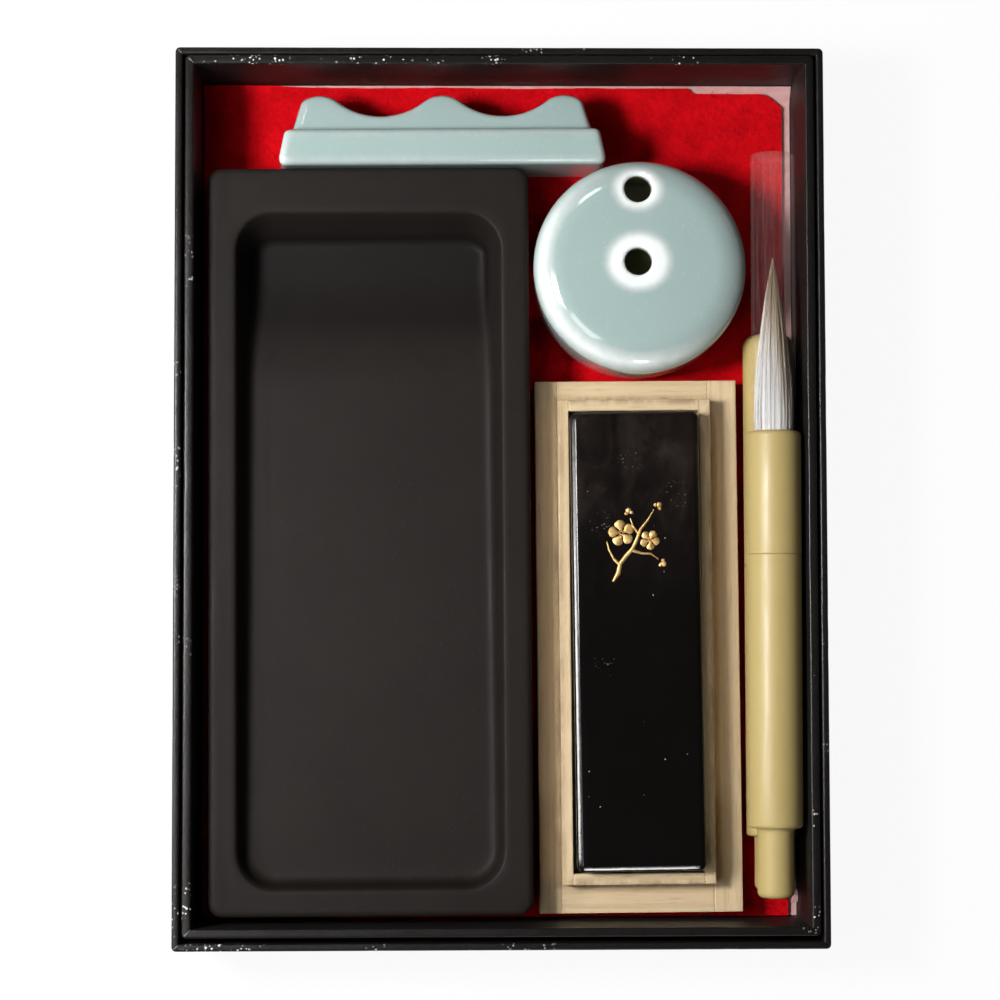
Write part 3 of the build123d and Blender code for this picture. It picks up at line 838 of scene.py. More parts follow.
@dataclass(frozen=True)
class GoldLeaf(Finish):
    """Gold rubbed over a raised ornament, broken here and there."""

    name: str = "rubbed_gold_leaf"
    colour: Colour = (0.72, 0.43, 0.13, 1)
    bright: Colour = (0.88, 0.62, 0.28, 1)
    bare: Colour = (0.02, 0.012, 0.008, 1)

    def sockets(self, t: Surface) -> dict[str, object]:
        """Grainy metal with breaks that show the ink."""
        soft = t.mottle(scale=500.0, fine=3.0)
        breaks = t.remap(t.noise(t.where, 1400.0, 4.0, 0.7), 0.6, 0.7)
        colour = t.mix(breaks, t.mix(soft, self.colour, self.bright), self.bare)
        return {"Base Color": colour, "Metallic": t.remap(breaks, 0.0, 1.0, 0.85, 0.0),
                "Normal": t.bump(t.noise(t.where, 2500.0, 3.0), 0.6, 0.08),
                "Roughness": t.remap(soft, 0.0, 1.0, 0.35, 0.55)}


@dataclass(frozen=True)
class SatinPlastic(Finish):
    """Pale khaki moulded plastic with a satin skin and light rubbing."""

    name: str = "pale_khaki_plastic"
    colour: Colour = (0.46, 0.35, 0.135, 1)
    rubbed: Colour = (0.54, 0.43, 0.19, 1)
    dirt: Colour = (0.3, 0.22, 0.1, 1)

    def sockets(self, t: Surface) -> dict[str, object]:
        """A slightly translucent skin with rubbed marks and specks of dirt."""
        soft = t.mottle(scale=60.0, fine=6.0)
        height, marks = t.scratches(scale=70.0, length=0.15, cover=0.55)
        specks = t.specks(scale=700.0, size=0.12, patches=90.0, cover=0.2)
        colour = t.tinted(self.colour, (soft, 0.25, self.rubbed), (marks, 0.3, self.rubbed),
                          (specks, 0.4, self.dirt))
        return {"Base Color": colour, "Roughness": t.remap(height, 0.3, 0.7, 0.34, 0.48),
                "Subsurface Weight": 0.08, "Subsurface Radius": (0.002, 0.0012, 0.0006),
                "Normal": t.bump(soft, 0.1, 0.1)}


@dataclass(frozen=True)
class ClearPlastic(Finish):
    """Thin clear moulded plastic: the end attribute is 1 at the cap's thick end."""

    name: str = "clear_cap_plastic"
    colour: Colour = (0.66, 0.5, 0.5, 1)
    haze: float = 0.008
    side: float = 0.2
    end: float = 0.07

    def sockets(self, t: Surface) -> dict[str, object]:
        """A clear film, hazed by handling, by its mould's draw lines and where it turns away."""
        height, marks = t.scratches(scale=110.0, length=0.03, cover=0.3)
        facing = t.add("ShaderNodeLayerWeight", {"Blend": 0.5}).outputs["Facing"]
        turned_away = t.math("POWER", t.remap(facing, 0.3, 1.0), 3.0)
        streak = t.remap(height, 0.5, 0.8, 0.0, 0.06)
        cover = t.plus(t.plus(self.haze, streak),
                       t.plus(t.times(turned_away, self.side), t.times(t.attribute("end"), self.end)), True)
        return {"Base Color": self.colour, "Roughness": t.remap(marks, 0.0, 1.0, 0.08, 0.25),
                "Alpha": cover, "Normal": t.bump(height, 0.06, 0.03)}


@dataclass(frozen=True)
class AnimalHair(Finish):
    """Soft hair, whose strands carry their share of the length and a tone of their own."""

    name: str = "tuft_hair"
    white: Colour = (0.96, 0.955, 0.94, 1)
    cream: Colour = (0.52, 0.39, 0.245, 1)
    tan: Colour = (0.2, 0.125, 0.07, 1)
    axis: float = 0.0602
    half_width: float = 0.003

    def sockets(self, t: Surface) -> dict[str, object]:
        """White at the root and tan towards the tip, sooner on the tuft's right side, away from the lamps,
        which is painted shade.
        """
        along, tone = t.attribute("along"), t.attribute("tone")
        # Across the tuft the colour turns tan sooner on its right, away from the lamps: painted shade.
        side = t.remap(t.parts(t.where)[0], self.axis - self.half_width, self.axis + self.half_width,
                       -0.28, 0.32)
        shifted = t.plus(along, t.plus(side, t.times(t.minus(tone, 0.5), 0.5)))
        colour = t.mix(t.remap(shifted, 0.2, 0.75, smooth=True), self.white, self.cream)
        colour = t.mix(t.remap(shifted, 0.7, 1.1, smooth=True), colour, self.tan)
        dark = t.remap(t.plus(tone, t.times(t.noise(t.where, 900.0), 0.2)), 0.98, 1.1)
        return {"Base Color": t.mix(dark, colour, self.tan), "Sheen Weight": 0.2,
                "Roughness": t.remap(tone, 0.0, 1.0, 0.4, 0.6)}


@dataclass(frozen=True)
class Finishes:
    """Every finish on the object."""

    paper: Material
    felt: Material
    card: Material
    stone: Material
    celadon: Material
    long_wood: Material
    cross_wood: Material
    lip_wood: Material
    lip_cross_wood: Material
    ink: Material
    gold: Material
    khaki: Material
    clear: Material
    hair: Material

    @classmethod
    def build(cls) -> "Finishes":
        """Builds the shared effects and each finish once."""
        e = Effects.build()
        made = (
            CoveredPaper(e), NappedFelt(e), PlainCard(e), HonedStone(e), CeladonGlaze(e),
            PlanedWood(e, "paulownia_long_boards"),
            PlanedWood(e, "paulownia_end_boards", 90.0, (0.03, 0.0, 0.0)),
            PlanedWood(e, "paulownia_lip_strips", 0.0, (0.11, 0.2, 0.0)),
            PlanedWood(e, "paulownia_lip_ends", 90.0, (0.17, 0.1, 0.0)),
            PolishedInk(e), GoldLeaf(e), SatinPlastic(e), ClearPlastic(e), AnimalHair(e),
        )
        return cls(*(finish.material() for finish in made))




# ------------------------------------------------------------------------------------ boxes
@dataclass
class CoveredBox:
    """An open box of greyboard covered in one paper: the tray, or the lid that it stands in."""

    name: str
    body: Body
    width: float
    length: float
    height: float
    board: float
    base: float
    y: float
    z: float
    corner: float = 1.0
    rim: float = 0.45
    seed: float = 0.0
    wear_and_glint: tuple[Triple, ...] = ()

    def _section(self) -> list[Triple]:
        """(inset from the outside, height, share of folding) from the underside to the inner floor."""
        rim, top, turns = self.rim, self.height, (0, 22, 45, 68, 90)
        inner = top - self.base
        return [
            (1.2, 0.0, 0.0), (0.3, 0.0, 0.0), (0.08, 0.08, 0.5), (0.0, 0.3, 0.3),
            *((0.0, top * s, 0.0) for s in (0.1, 0.25, 0.4, 0.55, 0.7, 0.8, 0.88, 0.94)),
            *((rim - rim * cosine(a), top - rim + rim * sine(a), 0.6 + 0.4 * a / 90) for a in turns),
            (self.board / 2, top, 1.0),
            *((self.board - rim + rim * sine(a), top - rim + rim * cosine(a), 1.0 - 0.4 * a / 90)
              for a in turns),
            *((self.board, self.base + inner * s, 0.5 if s > 0.85 else 0.0)
              for s in (0.94, 0.88, 0.8, 0.65, 0.5, 0.35, 0.2, 0.08)),
            (self.board, self.base, 0.0), (self.board + 1.5, self.base, 0.0),
        ]

    def _glint(self, p: Vector) -> float:
        """How strongly the painted glints show at a point: on the folds, in a few patches."""
        fold = max(0.0, 1 - (self.z + self.height - p.z) / 0.9)
        spots = [max(0.0, 1 - math.hypot(p.x - x, p.y - y) / reach) for x, y, reach in self.wear_and_glint]
        return fold * min(1.0, 1.6 * max(spots + [wander(p.x, p.y, self.seed, 9.0) - 0.35]))

    def _laid(self, x: float, y: float, z: float, fold: float) -> Vector:
        """Where the paper lies at a point of the board, slack and lapped along the folds."""
        slack = 0.10 * fold * wander(x + self.seed, y, z, 7.0)
        slack += 0.04 * fold * wander(x, y + self.seed, z, 2.2)
        slack = min(0.0, slack)
        near = max(0.0, 1 - math.dist((abs(x), abs(y)), (self.width / 2, self.length / 2)) / 5.0)
        lap = 0 if abs(y) - self.length / 2 > abs(x) - self.width / 2 else 1
        drop = -0.14 * fold * near * lap + 0.08 * fold * near * wander(x, y, z, 1.1)
        push = slack * (1.0 if 0 < z < self.height - 0.01 else 0.0)
        length = max(math.hypot(x, y), 1.0)
        top = min(self.height, z + drop + slack * 0.6) if fold > 0.5 else z
        return Vector((x + x / length * push, y + self.y + y / length * push, top))

    def build(self, finish: Material) -> None:
        """Makes the covered shell, which stands for the box's five boards."""
        loops = []
        for inset, z, fold in self._section():
            ring = rounded_rectangle(self.width - 2 * inset, self.length - 2 * inset,
                                     max(self.corner - inset, 0.25), 5, 90, 130)
            loops.append([self._laid(x, y, z, fold) for x, y in ring])
        made = Shape.solid(loops).piece(f"{self.name}_covering", placed(0, 0, self.z), 50.0)
        # Marks where white glints are painted on the rims.
        paint(made, "glint", self._glint)
        paint(made, "fold", lambda p: max(0.0, 1 - (self.z + self.height - p.z) / 2.0))
        boards = ("floor", "side_left", "side_right", "end_front", "end_back")
        settle(made, self.body, Slot.PAPER, finish, *(f"{self.name}_{board}" for board in boards))


# ------------------------------------------------------------------------------------ felt
@dataclass
class FeltLining:
    """The felt sheet and the card that backs it."""

    bottom: float = 4.4
    thickness: float = 1.0
    left: float = -66.7
    right: float = 64.7
    front: float = -93.25
    back_left: float = 94.2
    lifted_from: float = 89.3
    lift: float = 3.2
    back_right: float = 92.7
    notch: tuple[Point, ...] = ((64.7, 89.9), (63.6, 90.7), (62.4, 91.6), (61.1, 92.3), (59.6, 92.65))
    back: tuple[Point, ...] = (
        (44.6, 92.7), (43.9, 93.0), (43.2, 93.7), (20.0, 93.75), (6.0, 93.6), (-12.0, 93.8),
        (-30.0, 93.65), (-46.0, 93.8), (-50.0, 94.15))
    card_bottom: float = 4.0
    card_front: float = -93.2
    card_side: float = 66.6
    spacing: float = 1.5
    curl_left: float = 65.1
    curl_right: float = 66.5
    curl_y: float = -88.9
    curl_rise: float = 2.5
    curl_thickness: float = 0.11

    def _outline(self) -> Loop:
        """The sheet's edge, a little uneven, counterclockwise."""
        corners = [(self.left, self.front), (self.right, self.front), *self.notch, *self.back,
                   (self.left, self.back_left)]
        edge: Loop = []
        for (x0, y0), (x1, y1) in zip(corners, corners[1:] + corners[:1]):
            steps = max(1, round(math.dist((x0, y0), (x1, y1)) / 1.2))
            edge += [Vector((x0 + (x1 - x0) * i / steps, y0 + (y1 - y0) * i / steps)) for i in range(steps)]
        middle = Vector(((self.left + self.right) / 2, (self.front + self.back_right) / 2))
        return [p + (middle - p).normalized() * 0.09 * (1 + wander(p.x, p.y, 0, 3.0)) for p in edge]

    def _sheet(self) -> Shape:
        """The closed sheet, with a finely divided upper face."""
        edge, inner = self._outline(), []
        steps_x = int((self.right - self.left) / self.spacing)
        steps_y = int((self.back_left - self.front) / self.spacing)
        for i in range(1, steps_x):
            for j in range(1, steps_y):
                p = Vector((self.left + self.spacing * (i + 0.5 * (j % 2)), self.front + self.spacing * j))
                if all((p - q).length > 0.7 * self.spacing for q in edge) and self._inside(p, edge):
                    inner.append(p)
        count = len(edge)
        borders = [(i, (i + 1) % count) for i in range(count)]
        verts, _, faces, *_ = geometry.delaunay_2d_cdt(edge + inner, borders, [], 1, 1e-5)
        top, bottom = self.bottom + self.thickness, self.bottom
        shape = Shape.empty()
        upper = [Vector((p.x, p.y, top + self._rise(p.y) - 0.06 * (1 + wander(p.x, p.y, 0, 4.0))))
                 for p in verts]
        lower = [Vector((p.x, p.y, bottom + self._rise(p.y))) for p in verts]
        shape.add(upper, [tuple(f) for f in faces])
        shape.add(lower, [tuple(f)[::-1] for f in faces])
        shape.add(upper[:count] + lower[:count], [(i, (i + 1) % count, count + (i + 1) % count, count + i)
                                                  for i in range(count)])
        return shape

    def _rise(self, y: float) -> float:
        """How far the lining, a little too long for the tray, turns up at its back edge."""
        share = max(0.0, (y - self.lifted_from) / (self.back_left - self.lifted_from))
        return self.lift * min(share, 1.05) ** 1.6

    def _card(self) -> Shape:
        """The backing card, which turns up with the felt."""
        stops = [self.card_front, 0.0, 60.0, 86.0] + [self.lifted_from + 0.49 * k for k in range(11)]
        rows = []
        for y in stops:
            low = self.card_bottom + self._rise(y)
            high = low + self.bottom - self.card_bottom
            rows.append(self._strip(-self.card_side, self.card_side, (y, low), (y, high)))
        return Shape.solid(rows)

    @staticmethod
    def _strip(left: float, right: float, under: Point, over: Point) -> Loop:
        """A strip's four corners at one place along it, from its (y, z) under and over."""
        return [Vector((left, *under)), Vector((right, *under)), Vector((right, *over)),
                Vector((left, *over))]

    def _curl(self) -> Object:
        """A torn strip of the card that curls up against the tray's front right wall."""
        rows, thick = [], self.curl_thickness
        for k in range(13):
            turn = math.radians(-60 + 17 * k)
            reach = 1.15 - 0.035 * k
            y = self.curl_y + reach * math.cos(turn) * 1.7
            z = self.bottom + self.curl_rise + reach * math.sin(turn) * 1.2
            left = self.curl_left + 0.12 * math.sin(k * 0.8)
            rows.append(self._strip(left, self.curl_right, (y, z),
                                    (y + math.cos(turn) * thick, z + math.sin(turn) * thick)))
        return Shape.solid(rows).piece("card_curl", crease=50.0)

    @staticmethod
    def _inside(p: Vector, edge: Loop) -> bool:
        """Whether a point lies inside the outline."""
        crossings = sum(
            1 for a, b in zip(edge, edge[1:] + edge[:1])
            if (a.y > p.y) != (b.y > p.y) and p.x < a.x + (b.x - a.x) * (p.y - a.y) / (b.y - a.y)
        )
        return crossings % 2 == 1

    def build(self, finishes: Finishes) -> None:
        """Makes the card, the sheet and its loose fibres."""
        card = self._card().piece("backing_card", crease=50.0)
        settle(card, Body.TRAY, Slot.CARD, finishes.card, "felt_backing")
        settle(self._curl(), Body.TRAY, Slot.CARD, finishes.card)
        felt = self._sheet().piece("felt_sheet", crease=60.0)
        settle(felt, Body.TRAY, Slot.FELT, finishes.felt, "red_felt")
        fibres = LooseFibres().scatter(felt, finishes.felt)
        settle(fibres, Body.TRAY, Slot.FELT, finishes.felt)


@dataclass
class LooseFibres:
    """Loose wool fibres that stand off the felt."""

    density: float = 0.42
    length: float = 1.1
    thickness: float = 0.045
    seed: int = 7

    @staticmethod
    def _tree(material: Material) -> NodeTree:
        """The fibre scatter as a geometry node tree."""
        t, given, out = new_group(
            "loose_felt_fibres", {"Density": 0.0, "Length": 0.0, "Thickness": 0.0, "Seed": 0}, ["Geometry"],
            modifier=True)
        upward = t.parts(t.add("GeometryNodeInputNormal").outputs[0])[2]
        wanted = t.add("FunctionNodeCompare", {0: upward, 1: 0.5}, operation="GREATER_THAN").outputs[0]
        points = t.add("GeometryNodeDistributePointsOnFaces",
                       {"Mesh": given["Geometry"], "Selection": wanted, "Density": given["Density"],
                        "Seed": given["Seed"]}).outputs["Points"]
        half = t.times(given["Length"], 0.5)
        strand = t.add("GeometryNodeCurveQuadraticBezier",
                       {"Resolution": 3, "Start": t.compose(t.times(half, -1.0)), "End": t.compose(half),
                        "Middle": t.compose(0.0, t.times(half, 0.7), t.times(half, 0.55))}).outputs[0]
        fibre = t.tube(strand, given["Thickness"])
        turn = t.add("FunctionNodeRandomValue", {0: (-0.4, -0.25, 0.0), 1: (0.4, 0.25, 6.283),
                                                 "Seed": given["Seed"]}, data_type="FLOAT_VECTOR").outputs[0]
        size = t.random(0.45, 1.5, given["Seed"])
        spread = t.add("GeometryNodeInstanceOnPoints",
                       {"Points": points, "Instance": fibre.outputs[0], "Rotation": turn, "Scale": size})
        t.dress(spread.outputs[0], material, out)
        return t.tree

    def scatter(self, felt: Object, material: Material) -> Object:
        """Makes the fibres over the felt's upper face as one mesh."""
        values = {"Density": self.density / MM ** 2, "Length": self.length * MM,
                  "Thickness": self.thickness * MM, "Seed": self.seed}
        return shown("felt_fibres", grown("felt_fibres", felt.data, self._tree(material), values))


# ------------------------------------------------------------------------------------ inkstone
@dataclass
class Inkstone:
    """A rectangular inkstone with a land that falls to a deeper sea at its back."""

    x: float = -28.75
    y: float = -9.4
    z: float = 5.4
    turn: float = 0.25
    width: float = 70.8
    length: float = 164.2
    thickness: float = 17.5
    corner: float = 3.2
    edge: float = 1.3
    foot: float = 0.6
    well_width: float = 58.0
    well_front: float = -76.0
    well_back: float = 71.9
    well_corner: float = 8.0
    slope: float = 16.0
    back_slope: float = 24.0
    floor_round: float = 2.4
    rim_round: float = 0.8
    land_front_depth: float = 4.6
    land_back_depth: float = 6.6
    sea_depth: float = 10.5
    sea_length: float = 12.0
    fall_length: float = 26.0
    floor_rings: int = 30

    def depth(self, y: float) -> float:
        """The well floor's depth below the top face."""
        sea = self.well_back - self.sea_length
        brow = sea - self.fall_length
        land = self.land_front_depth + (self.land_back_depth - self.land_front_depth) * (
            min(y, brow) - self.well_front) / (brow - self.well_front)
        share = clamped((y - brow) / (sea - brow))
        return land + (self.sea_depth - self.land_back_depth) * share * share * (3 - 2 * share)

    def _outer(self, inset: float, z: float) -> Loop:
        """A loop on the block's outside."""
        ring = rounded_rectangle(self.width - 2 * inset, self.length - 2 * inset, self.corner - inset,
                                 10, 26, 70)
        return [Vector((x, y, z)) for x, y in ring]

    def _well(self, offset: float) -> list[Point]:
        """The well's outline grown by an offset."""
        middle = (self.well_front + self.well_back) / 2
        ring = rounded_rectangle(self.well_width + 2 * offset,
                                 self.well_back - self.well_front + 2 * offset,
                                 self.well_corner + offset, 10, 26, 70)
        return [(x, y + middle) for x, y in ring]

    def _well_loops(self) -> list[Loop]:
        """Loops from the well's rim down its walls and over its floor to the middle."""
        lean, top, rim = tangent(self.slope), self.thickness, self.rim_round
        brink = self._well(0)
        feet = [self.depth(y) for _, y in brink]
        for _ in range(4):
            feet = [self.depth(self._well(-d * lean)[i][1]) for i, d in enumerate(feet)]
        outlines = {key: self._well(key) for key in {round(-d * lean, 3) for d in feet}}

        def at(i: int, offset: float) -> Point:
            """A point of the outline at an offset, between the brink and the foot of the wall."""
            (x0, y0), (x1, y1) = brink[i], outlines[round(-feet[i] * lean, 3)][i]
            share = offset / (-feet[i] * lean)
            return x0 + (x1 - x0) * share, y0 + (y1 - y0) * share

        loops = [[Vector((x, y, top - rim * (1 - cosine(a)))) for x, y in self._well(rim * (1 - sine(a)))]
                 for a in (0, 25, 50, 74)]
        reach = self.floor_round / tangent((90 + self.slope) / 2)
        start, ends = rim * 0.72, [foot - reach * cosine(self.slope) for foot in feet]
        for share in (0.25, 0.5, 0.75, 1.0):
            deep = [start + (end - start) * share for end in ends]
            loops.append([Vector((*at(i, -d * lean), top - d)) for i, d in enumerate(deep)])
        for s in (0.2, 0.4, 0.6, 0.8, 1.0):
            loop = []
            for i, (end, foot) in enumerate(zip(ends, feet)):
                x, y = at(i, bezier(-end * lean, -foot * lean, -foot * lean - reach, s))
                loop.append(Vector((x, y, top - (self.depth(y) if s == 1.0 else bezier(end, foot, foot, s)))))
            loops.append(loop)
        spread = tangent(self.back_slope) - lean
        for loop in loops:
            for (_, brink_y), p in zip(brink, loop):
                p.y -= spread * (top - p.z) * clamped((brink_y - self.well_back) / self.well_corner + 1)
        edge, middle = loops[-1], (self.well_front + self.well_back) / 2
        for k in range(1, self.floor_rings):
            s = 1 - k / self.floor_rings
            shrunk = [(p.x * s, middle + (p.y - middle) * s) for p in edge]
            loops.append([Vector((x, y, top - self.depth(y))) for x, y in shrunk])
        return loops

    def _edge(self, p: Vector) -> float:
        """How close a point is to the block's upper corner, from 0 to 1."""
        local = placed(self.x, self.y, 0, self.turn).inverted() @ p
        side = min(self.width / 2 - abs(local.x), self.length / 2 - abs(local.y))
        return min(1.0, max(0.0, 1 - side / 1.6)) if p.z > self.z + self.thickness - 2.5 else 0.0

    def _sea_shade(self, p: Vector) -> float:
        """How much painted shade darkens a point: all of it lies deep in the sea."""
        inside = p.z > self.z + 1 and abs(p.x - self.x) < self.width / 2 - 3
        return clamped((self.z + self.thickness - p.z - 7.7) / 1.5) if inside else 0.0

    def build(self, finish: Material) -> None:
        """Makes the stone, which stands for its CAD node."""
        top, edge, foot = self.thickness, self.edge, self.foot
        loops = [self._outer(foot * (1 - sine(a)), foot * (1 - cosine(a))) for a in (0, 30, 60, 90)]
        loops += [self._outer(0, foot + (top - edge - foot) * s) for s in (0.2, 0.4, 0.6, 0.8)]
        loops += [self._outer(edge * (1 - cosine(a)), top - edge * (1 - sine(a))) for a in range(0, 91, 18)]
        well = self._well_loops()
        last, first = loops[-1], well[0]
        for share in (0.2, 0.4, 0.6, 0.8):
            loops.append([a.lerp(b, share) for a, b in zip(last, first)])
        loops += well
        for loop in loops:
            for p in loop:
                p.z += 0.03 * wander(p.x, p.y, 0, 11.0) * (1 if p.z > 0.7 else 0) - (0.03 if p.z > 17 else 0)
        made = Shape.solid(loops).piece("inkstone_block", placed(self.x, self.y, self.z, self.turn), 60.0)
        paint(made, "edge", self._edge)
        # Painted shade deep in the sea.
        paint(made, "ink", self._sea_shade)
        settle(made, Body.INKSTONE, Slot.STONE, finish, "inkstone")


# ------------------------------------------------------------------------------------ dropper
@dataclass
class WaterDropper:
    """A round glazed water dropper with a domed top and two holes."""

    x: float = 30.9
    y: float = 50.7
    z: float = 5.4
    radius: float = 23.5
    height: float = 22.0
    wall: float = 2.6
    crown: float = 0.9
    shoulder: float = 5.2
    shoulder_width: float = 7.6
    heel: float = 4.2
    recess: float = 0.8
    recess_radius: float = 16.0
    hole: float = 3.0
    lip: float = 0.7
    holes: tuple[Point, ...] = ((-0.6, 0.6), (-0.6, 16.75))
    steps: int = 180
    hole_steps: int = 60

    def _roof(self, r: float, thickness: float = 0.0) -> float:
        """The height of the domed top at a distance from its axis, or of the roof a thickness inside it."""
        radius, height = self.radius - thickness, self.height - thickness
        drop, width = self.shoulder - thickness, self.shoulder_width - thickness
        flat = radius - width
        if r <= flat:
            return height - self.crown * (r / radius) ** 2
        start = height - self.crown * (flat / radius) ** 2
        return start - drop + drop * math.sqrt(max(1 - ((r - flat) / width) ** 2, 0.0))

    def _shoulder(self, limit: float, thickness: float, steps: int) -> list[Point]:
        """(radius, height) points from the wall's top up the shoulder to a limit radius."""
        radius, drop = self.radius - thickness, self.shoulder - thickness
        width = self.shoulder_width - thickness
        end = math.acos((limit - radius + width) / width)
        base = self._roof(radius, thickness)
        return [(radius - width + width * math.cos(end * i / steps), base + drop * math.sin(end * i / steps))
                for i in range(steps + 1)]

    def _disc(self, shape: Shape, limit: float, thickness: float, lip: float, spacing: float) -> None:
        """Adds the pierced top, or the roof a thickness inside it, as triangles out to a limit radius."""
        reach, centres = self.hole + lip, [Vector(hole) for hole in self.holes]
        rings = [flat_ring(limit, self.steps)]
        rings += [flat_ring(reach, self.hole_steps, hole) for hole in self.holes]
        borders, count = [], 0
        for ring in rings:
            borders += [(count + i, count + (i + 1) % len(ring)) for i in range(len(ring))]
            count += len(ring)
        fill, rows = [], range(int(2 * limit / spacing))
        for j in rows:
            for i in rows:
                p = Vector((-limit + spacing * (i + 0.5 * (j % 2)), -limit + spacing * (j + 0.3)))
                clear = all((p - centre).length > reach + 0.55 * spacing for centre in centres)
                if p.length < limit - 0.6 * spacing and clear:
                    fill.append(p)
        points = [Vector(p) for ring in rings for p in ring] + fill
        verts, _, faces, *_ = geometry.delaunay_2d_cdt(points, borders, [], 0, 1e-6)
        kept = []
        for face in faces:
            middle = sum((verts[i] for i in face), Vector((0, 0))) / 3
            if all((middle - centre).length > reach - 0.02 for centre in centres):
                kept.append(tuple(face))
        shape.add([Vector((p.x, p.y, self._roof(p.length, thickness))) for p in verts], kept)

    def _rings(self, profile: Sequence[Point]) -> list[Loop]:
        """Loops about the dropper's axis from (radius, height) points."""
        return [[Vector((*p, z)) for p in flat_ring(r, self.steps)] for r, z in profile]

    def _outside(self, shape: Shape) -> None:
        """Adds the foot, the heel, the wall, the shoulder and the pierced top."""
        r, foot, heel, limit = self.radius, self.recess_radius, self.heel, self.radius - 2.0
        profile = [(2.0, self.recess), (8.0, self.recess), (foot - 0.4, self.recess),
                   (foot, self.recess - 0.3), (foot + 0.2, 0.1), (foot + 0.6, 0.0)]
        profile += [(r - heel + heel * sine(a), heel * (1 - cosine(a))) for a in range(0, 91, 10)]
        wall_top = self._roof(r)
        profile += [(r, heel + (wall_top - heel) * s) for s in (0.25, 0.5, 0.75)]
        profile += self._shoulder(limit, 0.0, 12)
        shape.skin(self._rings(profile), close_start=True)
        self._disc(shape, limit, 0.0, self.lip, 0.62)

    def _inside(self, shape: Shape) -> None:
        """Adds the cavity's floor, wall and roof."""
        r, heel, floor = self.radius - self.wall, self.heel - self.wall, self.recess + self.wall
        limit = r - 0.6
        profile = [(2.0, floor), (10.0, floor)]
        profile += [(r - heel + heel * sine(a), floor + heel * (1 - cosine(a))) for a in (0, 30, 60, 90)]
        profile += self._shoulder(limit, self.wall, 5)
        shape.skin(self._rings(profile), close_start=True)
        self._disc(shape, limit, self.wall, 0.0, 1.5)

    def _tube(self, shape: Shape, hole: Point) -> None:
        """Adds a hole's rounded lip and its wall down to the roof's inside."""
        mouth = flat_ring(self.hole + self.lip, self.hole_steps, hole)
        tube = []
        for angle in (90, 70, 50, 30, 12, 0):
            ring = flat_ring(self.hole + self.lip * (1 - cosine(angle)), self.hole_steps, hole)
            drop = self.lip * (1 - sine(angle))
            tube.append([Vector((*p, self._roof(math.hypot(*m)) - drop)) for p, m in zip(ring, mouth)])
        foot = [Vector((p.x, p.y, self._roof(math.hypot(p.x, p.y), self.wall))) for p in tube[-1]]
        tube += [[a.lerp(b, s) for a, b in zip(tube[-1], foot)] for s in (0.35, 0.7)]
        shape.skin([*tube, foot])

    def build(self, finish: Material) -> None:
        """Makes the dropper, which stands for its CAD node."""
        shape = Shape.empty()
        self._outside(shape)
        self._inside(shape)
        for hole in self.holes:
            self._tube(shape, hole)
        made = shape.piece("water_dropper_body", placed(self.x, self.y, self.z), 50.0)
        paint(made, "thin", self._thin)
        paint(made, "inside", self._hollow)
        settle(made, Body.DROPPER, Slot.CELADON, finish, "water_dropper")

    def _thin(self, p: Vector) -> float:
        """How thin the glaze is at a point: round the holes, on the shoulder and at the foot; on the shoulder
        it is also a painted highlight, whitest on the left front side towards the lamps.
        """
        x, y, z = p.x - self.x, p.y - self.y, p.z - self.z
        r = math.hypot(x, y)
        share = 0.0
        if z > self.height / 2:
            for index, (cx, cy) in enumerate(self.holes):
                reach = 8.3 if index == 0 else 6.6
                share = max(share, (reach - math.hypot(x - cx, (y - cy) * 1.1)) / 3.6)
            # The shoulder's white band is a painted highlight as well as thin glaze: it is whitest towards
            # the lamps at the left front.
            side = min(max(math.cos(math.atan2(y, x) - math.radians(215)) + 0.5, 0.25), 1.0)
            share = max(share, 0.6 * side * max(0.0, 1 - abs(r - 21.7) / 2.9) ** 0.7)
        share = max(share, 0.9 * max(0.0, 1 - z / 2.5))
        return clamped(share)

    def _hollow(self, p: Vector) -> float:
        """Whether a point is inside the dropper, or deep in a hole."""
        x, y, z = p.x - self.x, p.y - self.y, p.z - self.z
        r = math.hypot(x, y)
        deep = self.recess + 1.5 < z < self._roof(r) - 2.3
        return 1.0 if deep and r < self.radius - 0.4 * self.wall else 0.0


